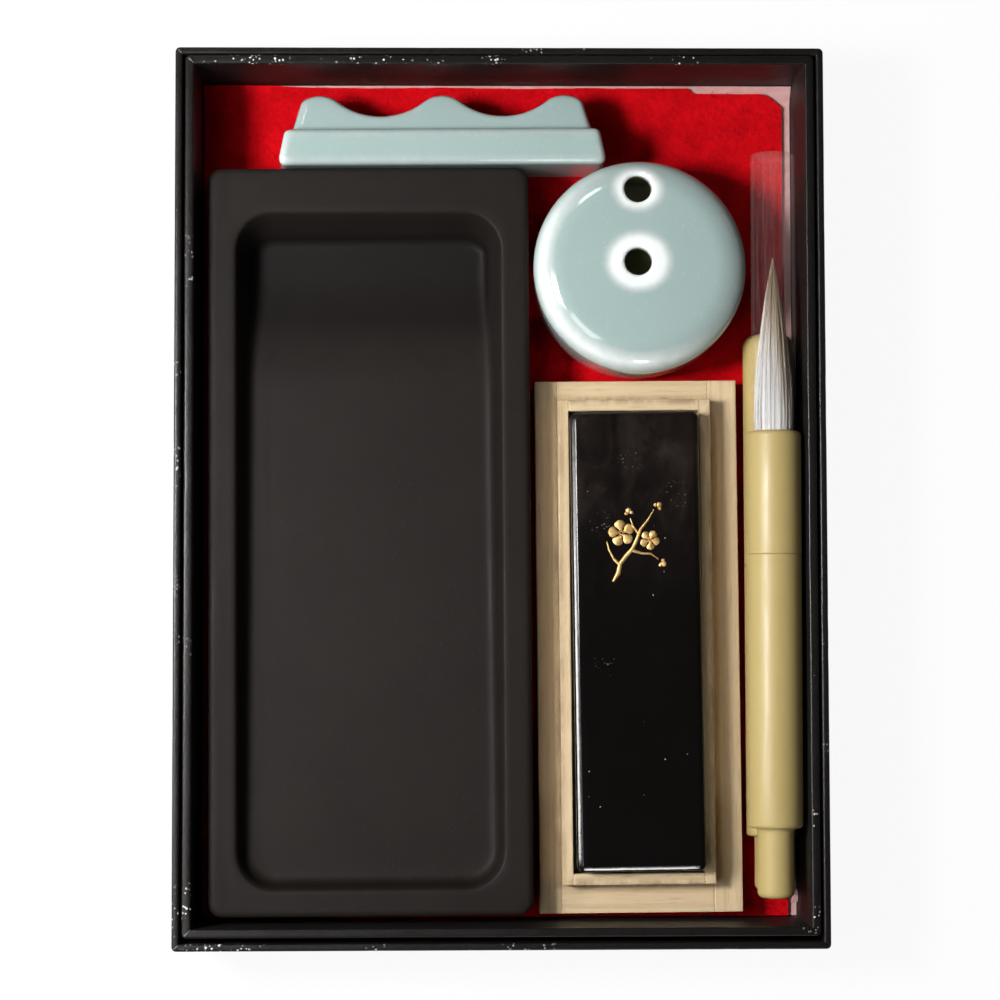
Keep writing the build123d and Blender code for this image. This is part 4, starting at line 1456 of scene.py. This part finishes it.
# ------------------------------------------------------------------------------------ brush rest
@dataclass
class BrushRest:
    """The three-peaked glazed rest, lying on its back."""

    voxel: float = 0.42
    # How far from the left end a painted highlight pales the glaze.
    end_highlight_width: float = 5.0
    spread_rounds: int = 5

    def build(self, finish: Material) -> None:
        """Softens a copy of the CAD shape as a thick glaze would, and pales its edges, most at its left end,
        where the paling is a painted highlight.
        """
        mesh = frame["nodes"]["brush_rest"].data.copy()
        copy = shown("rest_copy", mesh)
        merge_doubles(mesh, 0.003)
        remesh = copy.modifiers.new("even", "REMESH")
        remesh.mode, remesh.voxel_size, remesh.use_smooth_shade = "VOXEL", self.voxel * MM, True
        smooth = copy.modifiers.new("soft", "SMOOTH")
        smooth.factor, smooth.iterations = 0.5, 6
        soft = evaluated(copy, "brush_rest_body")
        if "custom_normal" in soft.attributes:
            soft.attributes.remove(soft.attributes["custom_normal"])
        soft.shade_smooth()
        made = shown("brush_rest_body", soft)
        left = min(v.co.x for v in soft.vertices)
        # The left end is paled most, as a painted highlight.
        share = [max(0.3, 1.0 - (v.co.x - left) / (self.end_highlight_width * MM)) for v in soft.vertices]
        store(soft, "thin", [min(max(s * 2.6, 0.0), 0.8) * k for s, k in zip(self._bends(soft), share)])
        settle(made, Body.REST, Slot.CELADON, finish, "brush_rest")

    def _bends(self, mesh: Mesh) -> list[float]:
        """How sharply the surface bends outwards round each vertex, spread over its neighbours."""
        points = [v.co.copy() for v in mesh.vertices]
        normals = [v.normal.copy() for v in mesh.vertices]
        pairs = [tuple(edge.vertices) for edge in mesh.edges]
        bends = [0.0] * len(points)
        for a, b in pairs:
            apart = points[a] - points[b]
            bend = (normals[a] - normals[b]).dot(apart) / max(apart.length, 1e-9)
            bends[a], bends[b] = max(bends[a], bend), max(bends[b], bend)
        for _ in range(self.spread_rounds):
            total, count = list(bends), [1] * len(bends)
            for a, b in pairs:
                total[a] += bends[b]
                total[b] += bends[a]
                count[a] += 1
                count[b] += 1
            bends = [t / c for t, c in zip(total, count)]
        return bends


# ------------------------------------------------------------------------------------ ink
@dataclass
class InkCase:
    """The paulownia case: a floor, four boards round it, and four lip strips inside them."""

    x: float = 30.75
    y: float = -32.7
    z: float = 5.4
    turn: float = 0.4
    width: float = 45.0
    length: float = 118.0
    height: float = 8.0
    inner_x: Point = (-17.6, 16.2)
    inner_y: Point = (-52.4, 54.4)
    floor: float = 4.5
    lip: float = 2.4
    lip_top: float = 13.0
    edge: float = 0.16

    def _board(self, name: str, x: Point, y: Point, z: Point) -> Object:
        """One board between two values along each of the case's own axes."""
        (x0, x1), (y0, y1), (low, high), e = x, y, z, self.edge
        width, length = x1 - x0, y1 - y0
        middle_x, middle_y = (x0 + x1) / 2, (y0 + y1) / 2
        steps = ((e, low), (0.0, low + e), (0.0, (low + high) / 2), (0.0, high - e),
                 (0.3 * e, high - 0.3 * e), (e, high), (3 * e, high))
        loops = []
        for inset, height in steps:
            ring = rounded_rectangle(width - 2 * inset, length - 2 * inset, 0.12, 2,
                                     max(2, int(width / 2)), max(2, int(length / 2)))
            wear_and_glint = 0.05 if height > high - 0.9 * e else 0.0
            loops.append([Vector((px + middle_x, py + middle_y,
                                  height - wear_and_glint * (1 + wander(px, py, high, 6.0)))) for px, py in ring])
        return Shape.solid(loops).piece(name, placed(self.x, self.y, self.z, self.turn), 45.0)

    def build(self, finishes: Finishes) -> None:
        """Makes every board, with wood whose grain runs its own way."""
        (x0, x1), (y0, y1), lip = self.inner_x, self.inner_y, self.lip
        w, h = self.width / 2, self.length / 2
        low, rim, top = (0.0, self.floor), (0.0, self.height), (self.floor, self.lip_top)
        boards = (
            ("floor", finishes.long_wood, (x0, x1), (y0, y1), low),
            ("side_left", finishes.long_wood, (-w, x0), (-h, h), rim),
            ("side_right", finishes.long_wood, (x1, w), (-h, h), rim),
            ("end_front", finishes.cross_wood, (x0, x1), (-h, y0), rim),
            ("end_back", finishes.cross_wood, (x0, x1), (y1, h), rim),
            ("lip_left", finishes.lip_wood, (x0, x0 + lip), (y0, y1), top),
            ("lip_right", finishes.lip_wood, (x1 - lip, x1), (y0, y1), top),
            ("lip_front", finishes.lip_cross_wood, (x0 + lip, x1 - lip), (y0, y0 + lip), top),
            ("lip_back", finishes.lip_cross_wood, (x0 + lip, x1 - lip), (y1 - lip, y1), top),
        )
        for name, wood, x, y, z in boards:
            settle(self._board(f"{name}_board", x, y, z), Body.CASE, Slot.WOOD, wood, f"case_{name}")


@dataclass
class InkStick:
    """The ink stick and the gilded plum sprig raised on it."""

    x: float = 30.05
    y: float = -31.7
    z: float = 9.9
    turn: float = 0.7
    width: float = 28.2
    length: float = 100.4
    thickness: float = 13.5
    corner: float = 1.5
    edge: float = 1.0
    facet: tuple[Point, ...] = (
        (0.0, 1.0), (0.06, 0.78), (0.2, 0.57), (0.3, 0.485), (0.36, 0.45), (1.12, 0.045), (1.2, 0.015),
        (1.35, 0.0))
    sprig: Point = (-0.7, 21.0)
    relief: float = 0.28

    def _loop(self, inset: float, z: float) -> Loop:
        """A loop round the stick."""
        ring = rounded_rectangle(self.width - 2 * inset, self.length - 2 * inset,
                                 max(self.corner - inset, 0.3), 6, 20, 60)
        return [Vector((x * (1 + 0.0006 * wander(y, z, 0, 9)), y, z)) for x, y in ring]

    def build(self, finishes: Finishes) -> None:
        """Makes the stick and its ornament."""
        top, e = self.thickness, self.edge
        loops = [self._loop(e * (1 - sine(a)), e * (1 - cosine(a))) for a in range(0, 91, 15)]
        loops += [self._loop(0, e + (top - 2 * e) * s) for s in (0.25, 0.5, 0.75)]
        loops += [self._loop(inset, top - down) for inset, down in self.facet]
        inner = loops[-1]
        for s in (0.85, 0.6, 0.35, 0.12):
            loops.append([Vector((p.x * s, p.y * s, top - 0.05 * (1 - s) * (1 + wander(p.x, p.y, 3, 14))))
                          for p in inner])
        place = placed(self.x, self.y, self.z, self.turn)
        made = Shape.solid(loops).piece("ink_stick_cake", place, 50.0)
        settle(made, Body.STICK, Slot.INK, finishes.ink, "ink_stick")
        gold = self._ornament().piece("gilded_sprig", place @ Matrix.Translation(
            (self.sprig[0], self.sprig[1], top - 0.12)), 70.0)
        settle(gold, Body.STICK, Slot.INK, finishes.gold)

    def _stroke(self, shape: Shape, points: Sequence[Point], widths: Sequence[float]) -> None:
        """Adds a raised stroke with rounded top along points, as wide as given at each."""
        across = (-1.0, -0.72, -0.35, 0.0, 0.35, 0.72, 1.0)
        rows = []
        for k, (x, y) in enumerate(points):
            before, after = points[max(k - 1, 0)], points[min(k + 1, len(points) - 1)]
            run = Vector((after[0] - before[0], after[1] - before[1])).normalized()
            side = Vector((-run.y, run.x))
            half = widths[k] / 2
            row = [Vector((x + side.x * half * s, y + side.y * half * s,
                           self.relief * math.sqrt(max(1 - s * s, 0.0)))) for s in across]
            row += [Vector((x + side.x * half, y + side.y * half, -0.2)),
                    Vector((x - side.x * half, y - side.y * half, -0.2))]
            rows.append(row)
        shape.skin(rows, close_start=True, close_end=True)

    @staticmethod
    def _ray(centre: Point, angle: float, *reaches: float) -> list[Point]:
        """Points at distances from a centre along one direction, in radians."""
        x, y = centre
        return [(x + math.cos(angle) * reach, y + math.sin(angle) * reach) for reach in reaches]

    def _petal(self, shape: Shape, centre: Point, angle: float, size: float) -> None:
        """Adds one round petal that points away from a flower's centre."""
        reaches = (size * s for s in (0.22, 0.34, 0.5, 0.68, 0.84, 0.95, 1.0))
        widths = [size * w for w in (0.12, 0.42, 0.78, 0.94, 0.8, 0.46, 0.1)]
        self._stroke(shape, self._ray(centre, math.radians(angle), *reaches), widths)

    def _flower(self, shape: Shape, centre: Point, size: float, start: float) -> None:
        """Adds a five-petalled flower with stamens."""
        for k in range(5):
            self._petal(shape, centre, start + 72 * k, size)
        for k in range(10):
            ray = self._ray(centre, math.radians(start + 36 * k + 18), size * 0.08,
                            size * (0.3 if k % 2 else 0.42))
            self._stroke(shape, ray, [0.22, 0.3])

    def _ornament(self) -> Shape:
        """A plum sprig: one branch, a full flower, a smaller one and three buds."""
        shape = Shape.empty()
        trunk = [(-4.6, -8.0), (-3.4, -6.2), (-3.0, -4.2), (-1.6, -2.4), (-0.2, -0.9), (0.8, 1.2), (1.6, 3.4),
                 (3.1, 5.2), (4.6, 7.6)]
        self._stroke(shape, trunk, [0.5, 1.15, 1.0, 1.1, 0.95, 0.85, 0.7, 0.55, 0.25])
        self._stroke(shape, [(-3.0, -4.4), (-4.4, -3.0), (-5.4, -1.0), (-5.8, 0.8)], [0.9, 0.65, 0.5, 0.25])
        self._stroke(shape, [(-0.4, -1.2), (1.8, -1.9), (3.8, -2.0), (5.4, -3.2)], [0.9, 0.6, 0.5, 0.25])
        self._stroke(shape, [(1.2, 2.4), (0.0, 4.0), (-0.6, 5.8)], [0.7, 0.5, 0.3])
        self._flower(shape, (-2.6, 2.6), 2.9, 100)
        self._flower(shape, (3.6, 1.0), 2.2, 60)
        for centre, angle in (((-0.8, 6.6), 100), ((5.2, 8.0), 50), ((5.8, -3.8), -30)):
            self._petal(shape, centre, angle, 1.5)
            self._petal(shape, centre, angle + 55, 1.1)
            self._petal(shape, centre, angle - 55, 1.1)
        return shape


# ------------------------------------------------------------------------------------ brushes
@dataclass
class Tuft:
    """A pointed tuft of strands round a solid core."""

    name: str
    length: float
    radius: float
    root: float
    strands: int
    hair: float = 0.055
    seed: int = 3
    SEED_STEP: ClassVar[int] = 11
    TAPER: ClassVar[tuple[Point, ...]] = (
        (0.0, 0.97), (0.12, 1.0), (0.25, 0.96), (0.38, 0.86), (0.5, 0.74), (0.63, 0.59), (0.76, 0.43),
        (0.88, 0.25), (0.95, 0.12), (1.0, 0.03))

    @classmethod
    def profile(cls, share: float) -> float:
        """The tuft's radius at a share of its length, from 1 at the mouth."""
        for (s0, r0), (s1, r1) in zip(cls.TAPER, cls.TAPER[1:]):
            if share <= s1:
                return r0 + (r1 - r0) * (share - s0) / (s1 - s0)
        return cls.TAPER[-1][1]

    def _shape(self, t: Tree, share: NodeSocket) -> NodeSocket:
        """The tuft's taper as a curve node's result at a share of the length."""
        shape = t.add("ShaderNodeFloatCurve", {"Factor": 1.0, "Value": share})
        curve = shape.mapping.curves[0]
        curve.points[0].location, curve.points[1].location = self.TAPER[0], self.TAPER[-1]
        for s, r in self.TAPER[1:-1]:
            curve.points.new(s, r)
        shape.mapping.update()
        return shape.outputs[0]

    def _tree(self, material: Material) -> NodeTree:
        """The strands as a geometry node tree."""
        inputs = {"Strands": 0, "Length": 0.0, "Root Radius": 0.0, "Hair Radius": 0.0, "Seed": 0}
        t, given, out = new_group(f"{self.name}_strands", inputs, ["Geometry"], modifier=True)
        points = t.add("GeometryNodePoints", {"Count": given["Strands"]}).outputs[0]
        for index, name in enumerate(("turn", "reach", "tone", "short")):
            high = 6.2832 if name == "turn" else 1.0
            seed = t.plus(given["Seed"], float(index * self.SEED_STEP))
            points = t.stored(points, name, t.random(0.0, high, seed))
        line = t.add("GeometryNodeCurvePrimitiveLine", {"End": (1.0, 0.0, 0.0)})
        fine = t.add("GeometryNodeResampleCurve", {"Curve": line.outputs[0], "Count": 13})
        strands = t.add("GeometryNodeInstanceOnPoints", {"Points": points, "Instance": fine.outputs[0]})
        real = t.add("GeometryNodeRealizeInstances", {0: strands.outputs[0]})
        share = t.add("GeometryNodeSplineParameter").outputs["Factor"]
        kept = t.stored(real.outputs[0], "along", share)
        turn, reach, short = (
            t.add("GeometryNodeInputNamedAttribute", {"Name": name}, data_type="FLOAT").outputs[0]
            for name in ("turn", "reach", "short"))
        outward = t.times(t.times(t.math("POWER", reach, 0.35), given["Root Radius"]), self._shape(t, share))
        clump = t.math("SINE", t.plus(t.times(turn, 17.0), t.times(share, 3.0)))
        swirl = t.plus(turn, t.times(clump, t.times(share, 0.09)))
        outward = t.times(outward, t.plus(1.0, t.times(clump, t.times(share, 0.06))))
        shortened = t.minus(1.0, t.times(t.math("POWER", short, 3.0), 0.16))
        x = t.times(t.times(share, shortened), given["Length"])
        where = t.compose(x, t.times(outward, t.math("COSINE", swirl)),
                          t.times(outward, t.math("SINE", swirl)))
        moved = t.add("GeometryNodeSetPosition", {"Geometry": kept, "Position": where})
        thin = t.times(given["Hair Radius"], t.minus(1.0, t.times(share, 0.7)))
        sized = t.add("GeometryNodeSetCurveRadius", {"Curve": moved.outputs[0], "Radius": thin})
        mesh = t.tube(sized.outputs[0], 1.0)
        if "Scale" in mesh.inputs:
            t.give(thin, mesh.inputs["Scale"])
        t.dress(mesh.outputs[0], material, out)
        return t.tree

    def _core(self, place: Matrix) -> Object:
        """The solid core that fills the tuft and its root."""
        outline = [(-self.root, self.radius), (-0.02, self.radius)]
        outline += [(i / 16 * self.length * 0.93, max(self.radius * self.profile(i / 16) * 0.86, 0.12))
                    for i in range(17)]
        return Shape.solid(lathe(outline, 28)).piece(f"{self.name}_core", place)

    def build(self, place: Matrix, material: Material) -> Object:
        """Makes the strands and their core as one piece, placed in the frame."""
        values = {"Strands": self.strands, "Length": self.length * MM,
                  "Root Radius": (self.radius - 0.1) * MM, "Hair Radius": self.hair * MM, "Seed": self.seed}
        mesh = grown(self.name, bpy.data.meshes.new("strand_holder"), self._tree(material), values)
        spot = Matrix.Translation(place.translation * MM) @ place.to_3x3().to_4x4()
        mesh.transform(spot)
        core = self._core(place)
        built = bmesh.new()
        built.from_mesh(mesh)
        strand_verts = len(built.verts)
        built.from_mesh(core.data)
        bpy.data.objects.remove(core)
        along, tone = (built.verts.layers.float[name] for name in ("along", "tone"))
        back = spot.inverted()
        for v in list(built.verts)[strand_verts:]:
            local = back @ v.co
            v[along] = clamped(local.x / (self.length * MM))
            v[tone] = 0.6 + 0.3 * wander(local.x * 1000, math.atan2(local.y, local.z) * 6, 0, 2.0)
        built.to_mesh(mesh)
        built.free()
        mesh.shade_smooth()
        return shown(self.name, mesh)


@dataclass
class BrushFrame:
    """A brush's own frame: its rear end, height and turn."""

    x: float
    y: float
    z: float
    turn: float

    def place(self) -> Matrix:
        """Where the brush's axis, local +X, lies in the frame."""
        return placed(self.x, self.y, self.z, 90 + self.turn)


def turned(name: str, outline: Sequence[Point], place: Matrix, bore: Sequence[Point] = (),
           steps: int = 72) -> Object:
    """A piece turned about a brush's axis.

    Args:
        name: The piece's name.
        outline: (distance, radius) from one end to the other.
        place: The brush's place.
        bore: The inside from the far end back to the near end, or nothing for a solid piece.
        steps: Sides round the piece.

    Returns:
        The piece.
    """
    loops = lathe([*outline, *bore], steps)
    if not bore:
        return Shape.solid(loops).piece(name, place, TURNED_CREASE)
    shape = Shape.empty()
    shape.skin(loops + loops[:1])
    return shape.piece(name, place, TURNED_CREASE)


def cap_shell(name: str, outside: Sequence[Point], inside: Sequence[Point], place: Matrix) -> Object:
    """A cap turned about a brush's axis.

    Args:
        name: The piece's name.
        outside: (distance, radius) from the open rim to the closed end.
        inside: The same from the closed end back to the rim.
        place: The brush's place.

    Returns:
        The piece.
    """
    shape = Shape.empty()
    shape.skin(lathe(outside, CAP_STEPS), close_end=True)
    shape.skin(lathe(inside, CAP_STEPS), close_start=True)
    shape.skin(lathe([inside[-1], outside[0]], CAP_STEPS))
    return shape.piece(name, place, TURNED_CREASE)


def straight(start: float, length: float, radius: float, *shares: float) -> list[Point]:
    """Points of one radius at shares of a length."""
    return [(start + length * share, radius) for share in shares]


def eased(distance: float, radius: float, size: float, rear: bool) -> list[Point]:
    """A rounded outer edge at a piece's rear or front end."""
    if rear:
        return arc((distance + size, radius - size), size, 180, 90, 5)
    return arc((distance - size, radius - size), size, 90, 0, 5)


@dataclass
class Brush:
    """What both brushes share: pieces turned about an axis that runs forwards as local +X."""

    frame: BrushFrame
    BODY: ClassVar[Body]

    def _turn(self, name: str, outline: list[Point], finish: Material, node: str,
              bore: Sequence[Point] = (), steps: int = 72) -> None:
        """Adds one turned plastic piece, which stands for a CAD node."""
        settle(turned(name, outline, self.frame.place(), bore, steps), self.BODY, Slot.KHAKI, finish, node)

    def _hair(self, tuft: Tuft, mouth: float, finish: Material, node: str) -> None:
        """Adds a tuft that starts at a distance along the axis."""
        hair = tuft.build(self.frame.place() @ Matrix.Translation((mouth, 0, 0)), finish)
        settle(hair, self.BODY, Slot.HAIR, finish, node)


@dataclass
class CappedBrush(Brush):
    """The upper brush, with its clear cap."""

    BODY: ClassVar[Body] = Body.BRUSH
    radius: float = 6.0
    tail_radius: float = 4.0
    tail_length: float = 15.2
    rear_length: float = 59.6
    front_length: float = 27.1
    mouth_depth: float = 5.0
    mouth_radius: float = 4.9
    wall: float = 1.4
    plug: float = 5.0
    tuft_length: float = 38.3
    tuft_radius: float = 4.4
    tuft_root: float = 6.0
    strands: int = 1500
    cap_radius: float = 4.85
    cap_wall: float = 0.38
    cap_length: float = 61.5
    cap_end: float = 0.6
    cap_round: float = 0.9

    def _front(self, rear: float, front: float, plug: float) -> list[Point]:
        """The front barrel's outline: its plug, its skin, its mouth and the socket for the tuft."""
        root, floor = self.tuft_radius + FIT, front - self.mouth_depth
        outline = [(rear - self.plug, plug - 0.4), (rear - self.plug + 0.4, plug), (rear, plug)]
        outline += eased(rear, self.radius, JOINT_EASE, True)
        outline += straight(rear, self.front_length, self.radius, 0.3, 0.6)
        outline += eased(front, self.radius, 1.1, False)[:-1] + [(front, self.mouth_radius + FIT)]
        return outline + [(front - 0.2, self.mouth_radius), (floor, self.mouth_radius), (floor, root),
                          (floor - self.tuft_root, root), (floor - self.tuft_root, 0.4)]

    def _cap(self, floor: float, finish: Material) -> None:
        """Adds the clear cap, which stands on the mouth's floor."""
        end = floor + self.mouth_depth + self.cap_length
        outside = straight(floor, end - floor, self.cap_radius, 0.0, 0.25, 0.5, 0.75)
        outside += arc((end - self.cap_round, self.cap_radius - self.cap_round), self.cap_round, 90, 0, 12)
        inner_end, inner = end - self.cap_end, self.cap_radius - self.cap_wall
        small = max(self.cap_round - self.cap_end, 0.3)
        inside = arc((inner_end - small, inner - small), small, 0, 90, 10)
        inside += straight(floor, inner_end - floor, inner, 0.75, 0.5, 0.25, 0.0)
        cap = cap_shell("brush_clear_cap", outside, inside, self.frame.place())
        back = self.frame.place().inverted()
        paint(cap, "end", lambda p: clamped(((back @ p).x - end + 1.1) / 0.9))
        settle(cap, Body.CLEAR_CAP, Slot.CLEAR, finish, "brush_cap")

    def build(self, finishes: Finishes) -> None:
        """Makes the tail, both barrels, the tuft and the cap."""
        tail_end = self.tail_length
        rear = tail_end + self.rear_length
        front = rear + self.front_length
        bore = self.radius - self.wall
        plug = bore - FIT
        tail = eased(0.0, self.tail_radius, 1.4, True)
        tail += [(tail_end - 0.9, self.tail_radius), (tail_end - 0.3, self.tail_radius + 0.12),
                 (tail_end, self.tail_radius + 0.45), (tail_end, plug), (tail_end + self.plug, plug)]
        self._turn("brush_tail_peg", tail, finishes.khaki, "brush_tail")
        barrel = eased(tail_end, self.radius, 0.9, True)
        barrel += straight(tail_end, self.rear_length, self.radius, 0.2, 0.4, 0.6, 0.8)
        barrel += eased(rear, self.radius, JOINT_EASE, False)
        self._turn("brush_rear_barrel_tube", barrel, finishes.khaki, "brush_rear_barrel",
                   [(rear, bore), (tail_end, bore)])
        self._turn("brush_front_barrel_tube", self._front(rear, front, plug), finishes.khaki,
                   "brush_front_barrel")
        tuft = Tuft("brush_tuft_hair", self.tuft_length, self.tuft_radius,
                    self.tuft_root + self.mouth_depth, self.strands)
        self._hair(tuft, front, finishes.hair, "brush_tuft")
        self._cap(front - self.mouth_depth, finishes.clear)


@dataclass
class SpareBrush(Brush):
    """The lower brush, with its opaque cap."""

    BODY: ClassVar[Body] = Body.SPARE
    radius: float = 5.7
    tail_radius: float = 3.9
    tail_length: float = 12.0
    handle_length: float = 60.0
    collar_radius: float = 4.6
    collar_length: float = 6.0
    collar_root: float = 8.0
    wall: float = 1.4
    plug: float = 5.0
    tuft_length: float = 27.0
    tuft_radius: float = 3.2
    tuft_root: float = 5.0
    strands: int = 700
    seed: int = 19
    cap_length: float = 51.9
    cap_clearance: float = 0.1
    cap_end: float = 1.2
    cap_round: float = 3.0

    def _cap(self, start: float, finish: Material) -> None:
        """Adds the opaque cap, whose rim meets the handle."""
        end = start + self.cap_length
        outside = eased(start, self.radius, JOINT_EASE, True)
        outside += straight(start, self.cap_length, self.radius, 0.3, 0.6)
        outside += arc((end - self.cap_round, self.radius - self.cap_round), self.cap_round, 90, 0, 12)
        inner, inner_end = self.collar_radius + self.cap_clearance, end - self.cap_end
        small = self.cap_round - self.cap_end
        inside = arc((inner_end - small, inner - small), small, 0, 90, 8) + [(start, inner)]
        settle(cap_shell("spare_cap_shell", outside, inside, self.frame.place()), Body.SPARE_CAP,
               Slot.KHAKI, finish, "spare_cap")

    def build(self, finishes: Finishes) -> None:
        """Makes the tail, handle, collar, tuft and cap."""
        tail_end = self.tail_length
        handle_end = tail_end + self.handle_length
        collar_end = handle_end + self.collar_length
        bore = self.radius - self.wall
        plug, root = bore - FIT, self.tuft_radius + FIT
        tail = eased(0.0, self.tail_radius, 1.4, True)
        tail += [(tail_end, self.tail_radius), (tail_end, plug), (tail_end + self.plug, plug)]
        self._turn("spare_tail_peg", tail, finishes.khaki, "spare_tail")
        handle = eased(tail_end, self.radius, 0.7, True)
        handle += straight(tail_end, self.handle_length, self.radius, 0.3, 0.6)
        handle += eased(handle_end, self.radius, JOINT_EASE, False)
        self._turn("spare_handle_tube", handle, finishes.khaki, "spare_handle",
                   [(handle_end, bore), (tail_end, bore)])
        start = handle_end - self.collar_root
        floor = collar_end - self.tuft_root
        collar = [(start, plug - 0.4), (start + 0.4, plug), (handle_end, plug),
                  (handle_end, self.collar_radius)]
        collar += eased(collar_end, self.collar_radius, 0.4, False)
        collar += [(collar_end, root), (floor, root), (floor, 0.4)]
        self._turn("spare_collar_ring", collar, finishes.khaki, "spare_collar", steps=60)
        tuft = Tuft("spare_tuft_hair", self.tuft_length, self.tuft_radius, self.tuft_root, self.strands,
                    seed=self.seed)
        self._hair(tuft, collar_end, finishes.hair, "spare_tuft")
        self._cap(handle_end, finishes.khaki)


# ------------------------------------------------------------------------------------ studio
@dataclass(frozen=True)
class Lamp:
    """An area lamp: where it stands, its size along the box and across, and its power."""

    name: str
    place: Triple
    size: Point
    power: float


@dataclass
class Studio:
    """A white table, soft lamps and the camera above the box."""

    lamps: tuple[Lamp, ...] = (
        Lamp("window_lamp", (-0.24, 0.02, 0.37), (0.09, 0.08), 2.1),
        Lamp("front_lamp", (-0.22, -0.18, 0.70), (0.20, 0.16), 0.5),
        Lamp("back_lamp", (-0.20, 0.55, 0.62), (0.15, 0.13), 0.5),
        Lamp("left_card", (-0.865, -0.06, 0.68), (0.24, 0.09), 2.6),
        Lamp("front_card", (0.107, -1.033, 0.566), (0.16, 0.08), 1.3),
    )
    LENS: ClassVar[float] = 97.13
    CAMERA_PLACE: ClassVar[Triple] = (-0.01166, -0.03558, 0.6134)
    CAMERA_TURN: ClassVar[Triple] = (0.0588083, -0.0194512, -0.0013011)
    overhead: float = 0.04
    window_side: float = 0.2

    @staticmethod
    def _floor() -> None:
        """A wide white table that stays white to the camera and keeps the box's shadow."""
        material, tree, shader = new_material("white_table")
        t = Tree(tree)
        t.give((0.9, 0.9, 0.9, 1), shader.inputs["Base Color"])
        t.give(0.8, shader.inputs["Roughness"])
        paths = t.add("ShaderNodeLightPath").outputs
        seen = t.math("MAXIMUM", paths["Is Camera Ray"],
                      t.math("MAXIMUM", paths["Is Glossy Ray"], paths["Is Transmission Ray"]))
        white = t.add("ShaderNodeEmission", {"Color": (1, 1, 1, 1), "Strength": 1.0})
        t.finish_with("OUTPUT_MATERIAL", t.times(seen, 0.93), shader.outputs[0], white.outputs[0])
        bpy.ops.mesh.primitive_plane_add(size=6.0)
        floor = bpy.context.object
        floor.name = "table"
        floor.data.materials.append(material)

    def _light(self, lamp: Lamp) -> None:
        """Adds a lamp that shines at the middle of the box."""
        light = bpy.data.lights.new(lamp.name, "AREA")
        light.shape, light.energy = "RECTANGLE", lamp.power
        light.size, light.size_y = lamp.size
        made = shown(lamp.name, light)
        made.location = lamp.place
        made.rotation_euler = (-Vector(lamp.place)).to_track_quat("-Z", "Y").to_euler()

    def _world(self) -> None:
        """Dim air overhead that brightens towards the window side, and plain white to the camera."""
        world = bpy.data.worlds.new("studio_air")
        bpy.context.scene.world = world
        world.use_nodes = True
        background = world.node_tree.nodes["Background"]
        t = Tree(world.node_tree)
        t.give((1.0, 0.99, 0.98, 1), background.inputs["Color"])
        way = t.add("ShaderNodeTexCoord").outputs["Generated"]
        toward = t.vector("DOT_PRODUCT", way, (-0.88, -0.35, 0.0))["Value"]
        strength = t.remap(toward, 0.25, 0.95, self.overhead, self.overhead + self.window_side, smooth=True)
        t.give(strength, background.inputs["Strength"])
        camera_ray = t.add("ShaderNodeLightPath").outputs["Is Camera Ray"]
        white = t.add("ShaderNodeBackground", {"Color": (1, 1, 1, 1), "Strength": 1.0})
        t.finish_with("OUTPUT_WORLD", camera_ray, background.outputs[0], white.outputs[0])

    def _camera(self) -> None:
        """The camera, almost straight above the tray."""
        data = bpy.data.cameras.new("camera")
        data.lens, data.sensor_width = self.LENS, 36.0
        data.clip_start, data.clip_end = 0.01, 50.0
        camera = shown("camera", data)
        camera.location = self.CAMERA_PLACE
        camera.rotation_mode = "YXZ"
        camera.rotation_euler = self.CAMERA_TURN
        bpy.context.scene.camera = camera

    def build(self) -> None:
        """Sets up the whole studio."""
        bpy.context.scene.view_settings.view_transform = "Standard"
        self._world()
        self._floor()
        for lamp in self.lamps:
            self._light(lamp)
        self._camera()


def corners(box: tuple[Vector, Vector]) -> list[list[float]]:
    """A box's two corners as plain lists."""
    return [[round(v, 6) for v in corner] for corner in box]


def main() -> None:
    """Builds and dresses every sub-assembly in order."""
    logging.basicConfig(level=logging.INFO, format="%(name)s: %(message)s")
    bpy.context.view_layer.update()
    Studio().build()
    finishes = Finishes.build()
    CoveredBox("lid", Body.LID, 142.0, 196.4, 29.0, 1.6, 2.0, 0.0, 0.0, seed=31.0,
               wear_and_glint=LID_GLINTS).build(finishes.paper)
    CoveredBox("tray", Body.TRAY, 137.6, 191.8, 27.4, 2.0, 2.0, 0.5, 2.0,
               wear_and_glint=TRAY_GLINTS).build(finishes.paper)
    FeltLining().build(finishes)
    Inkstone().build(finishes.stone)
    WaterDropper().build(finishes.celadon)
    BrushRest().build(finishes.celadon)
    InkCase().build(finishes)
    InkStick().build(finishes)
    SpareBrush(BrushFrame(60.45, -87.0, 11.3, 0.0)).build(finishes)
    CappedBrush(BrushFrame(59.78, -87.7, 23.2, -0.2)).build(finishes)


if __name__ == "__main__":
    main()
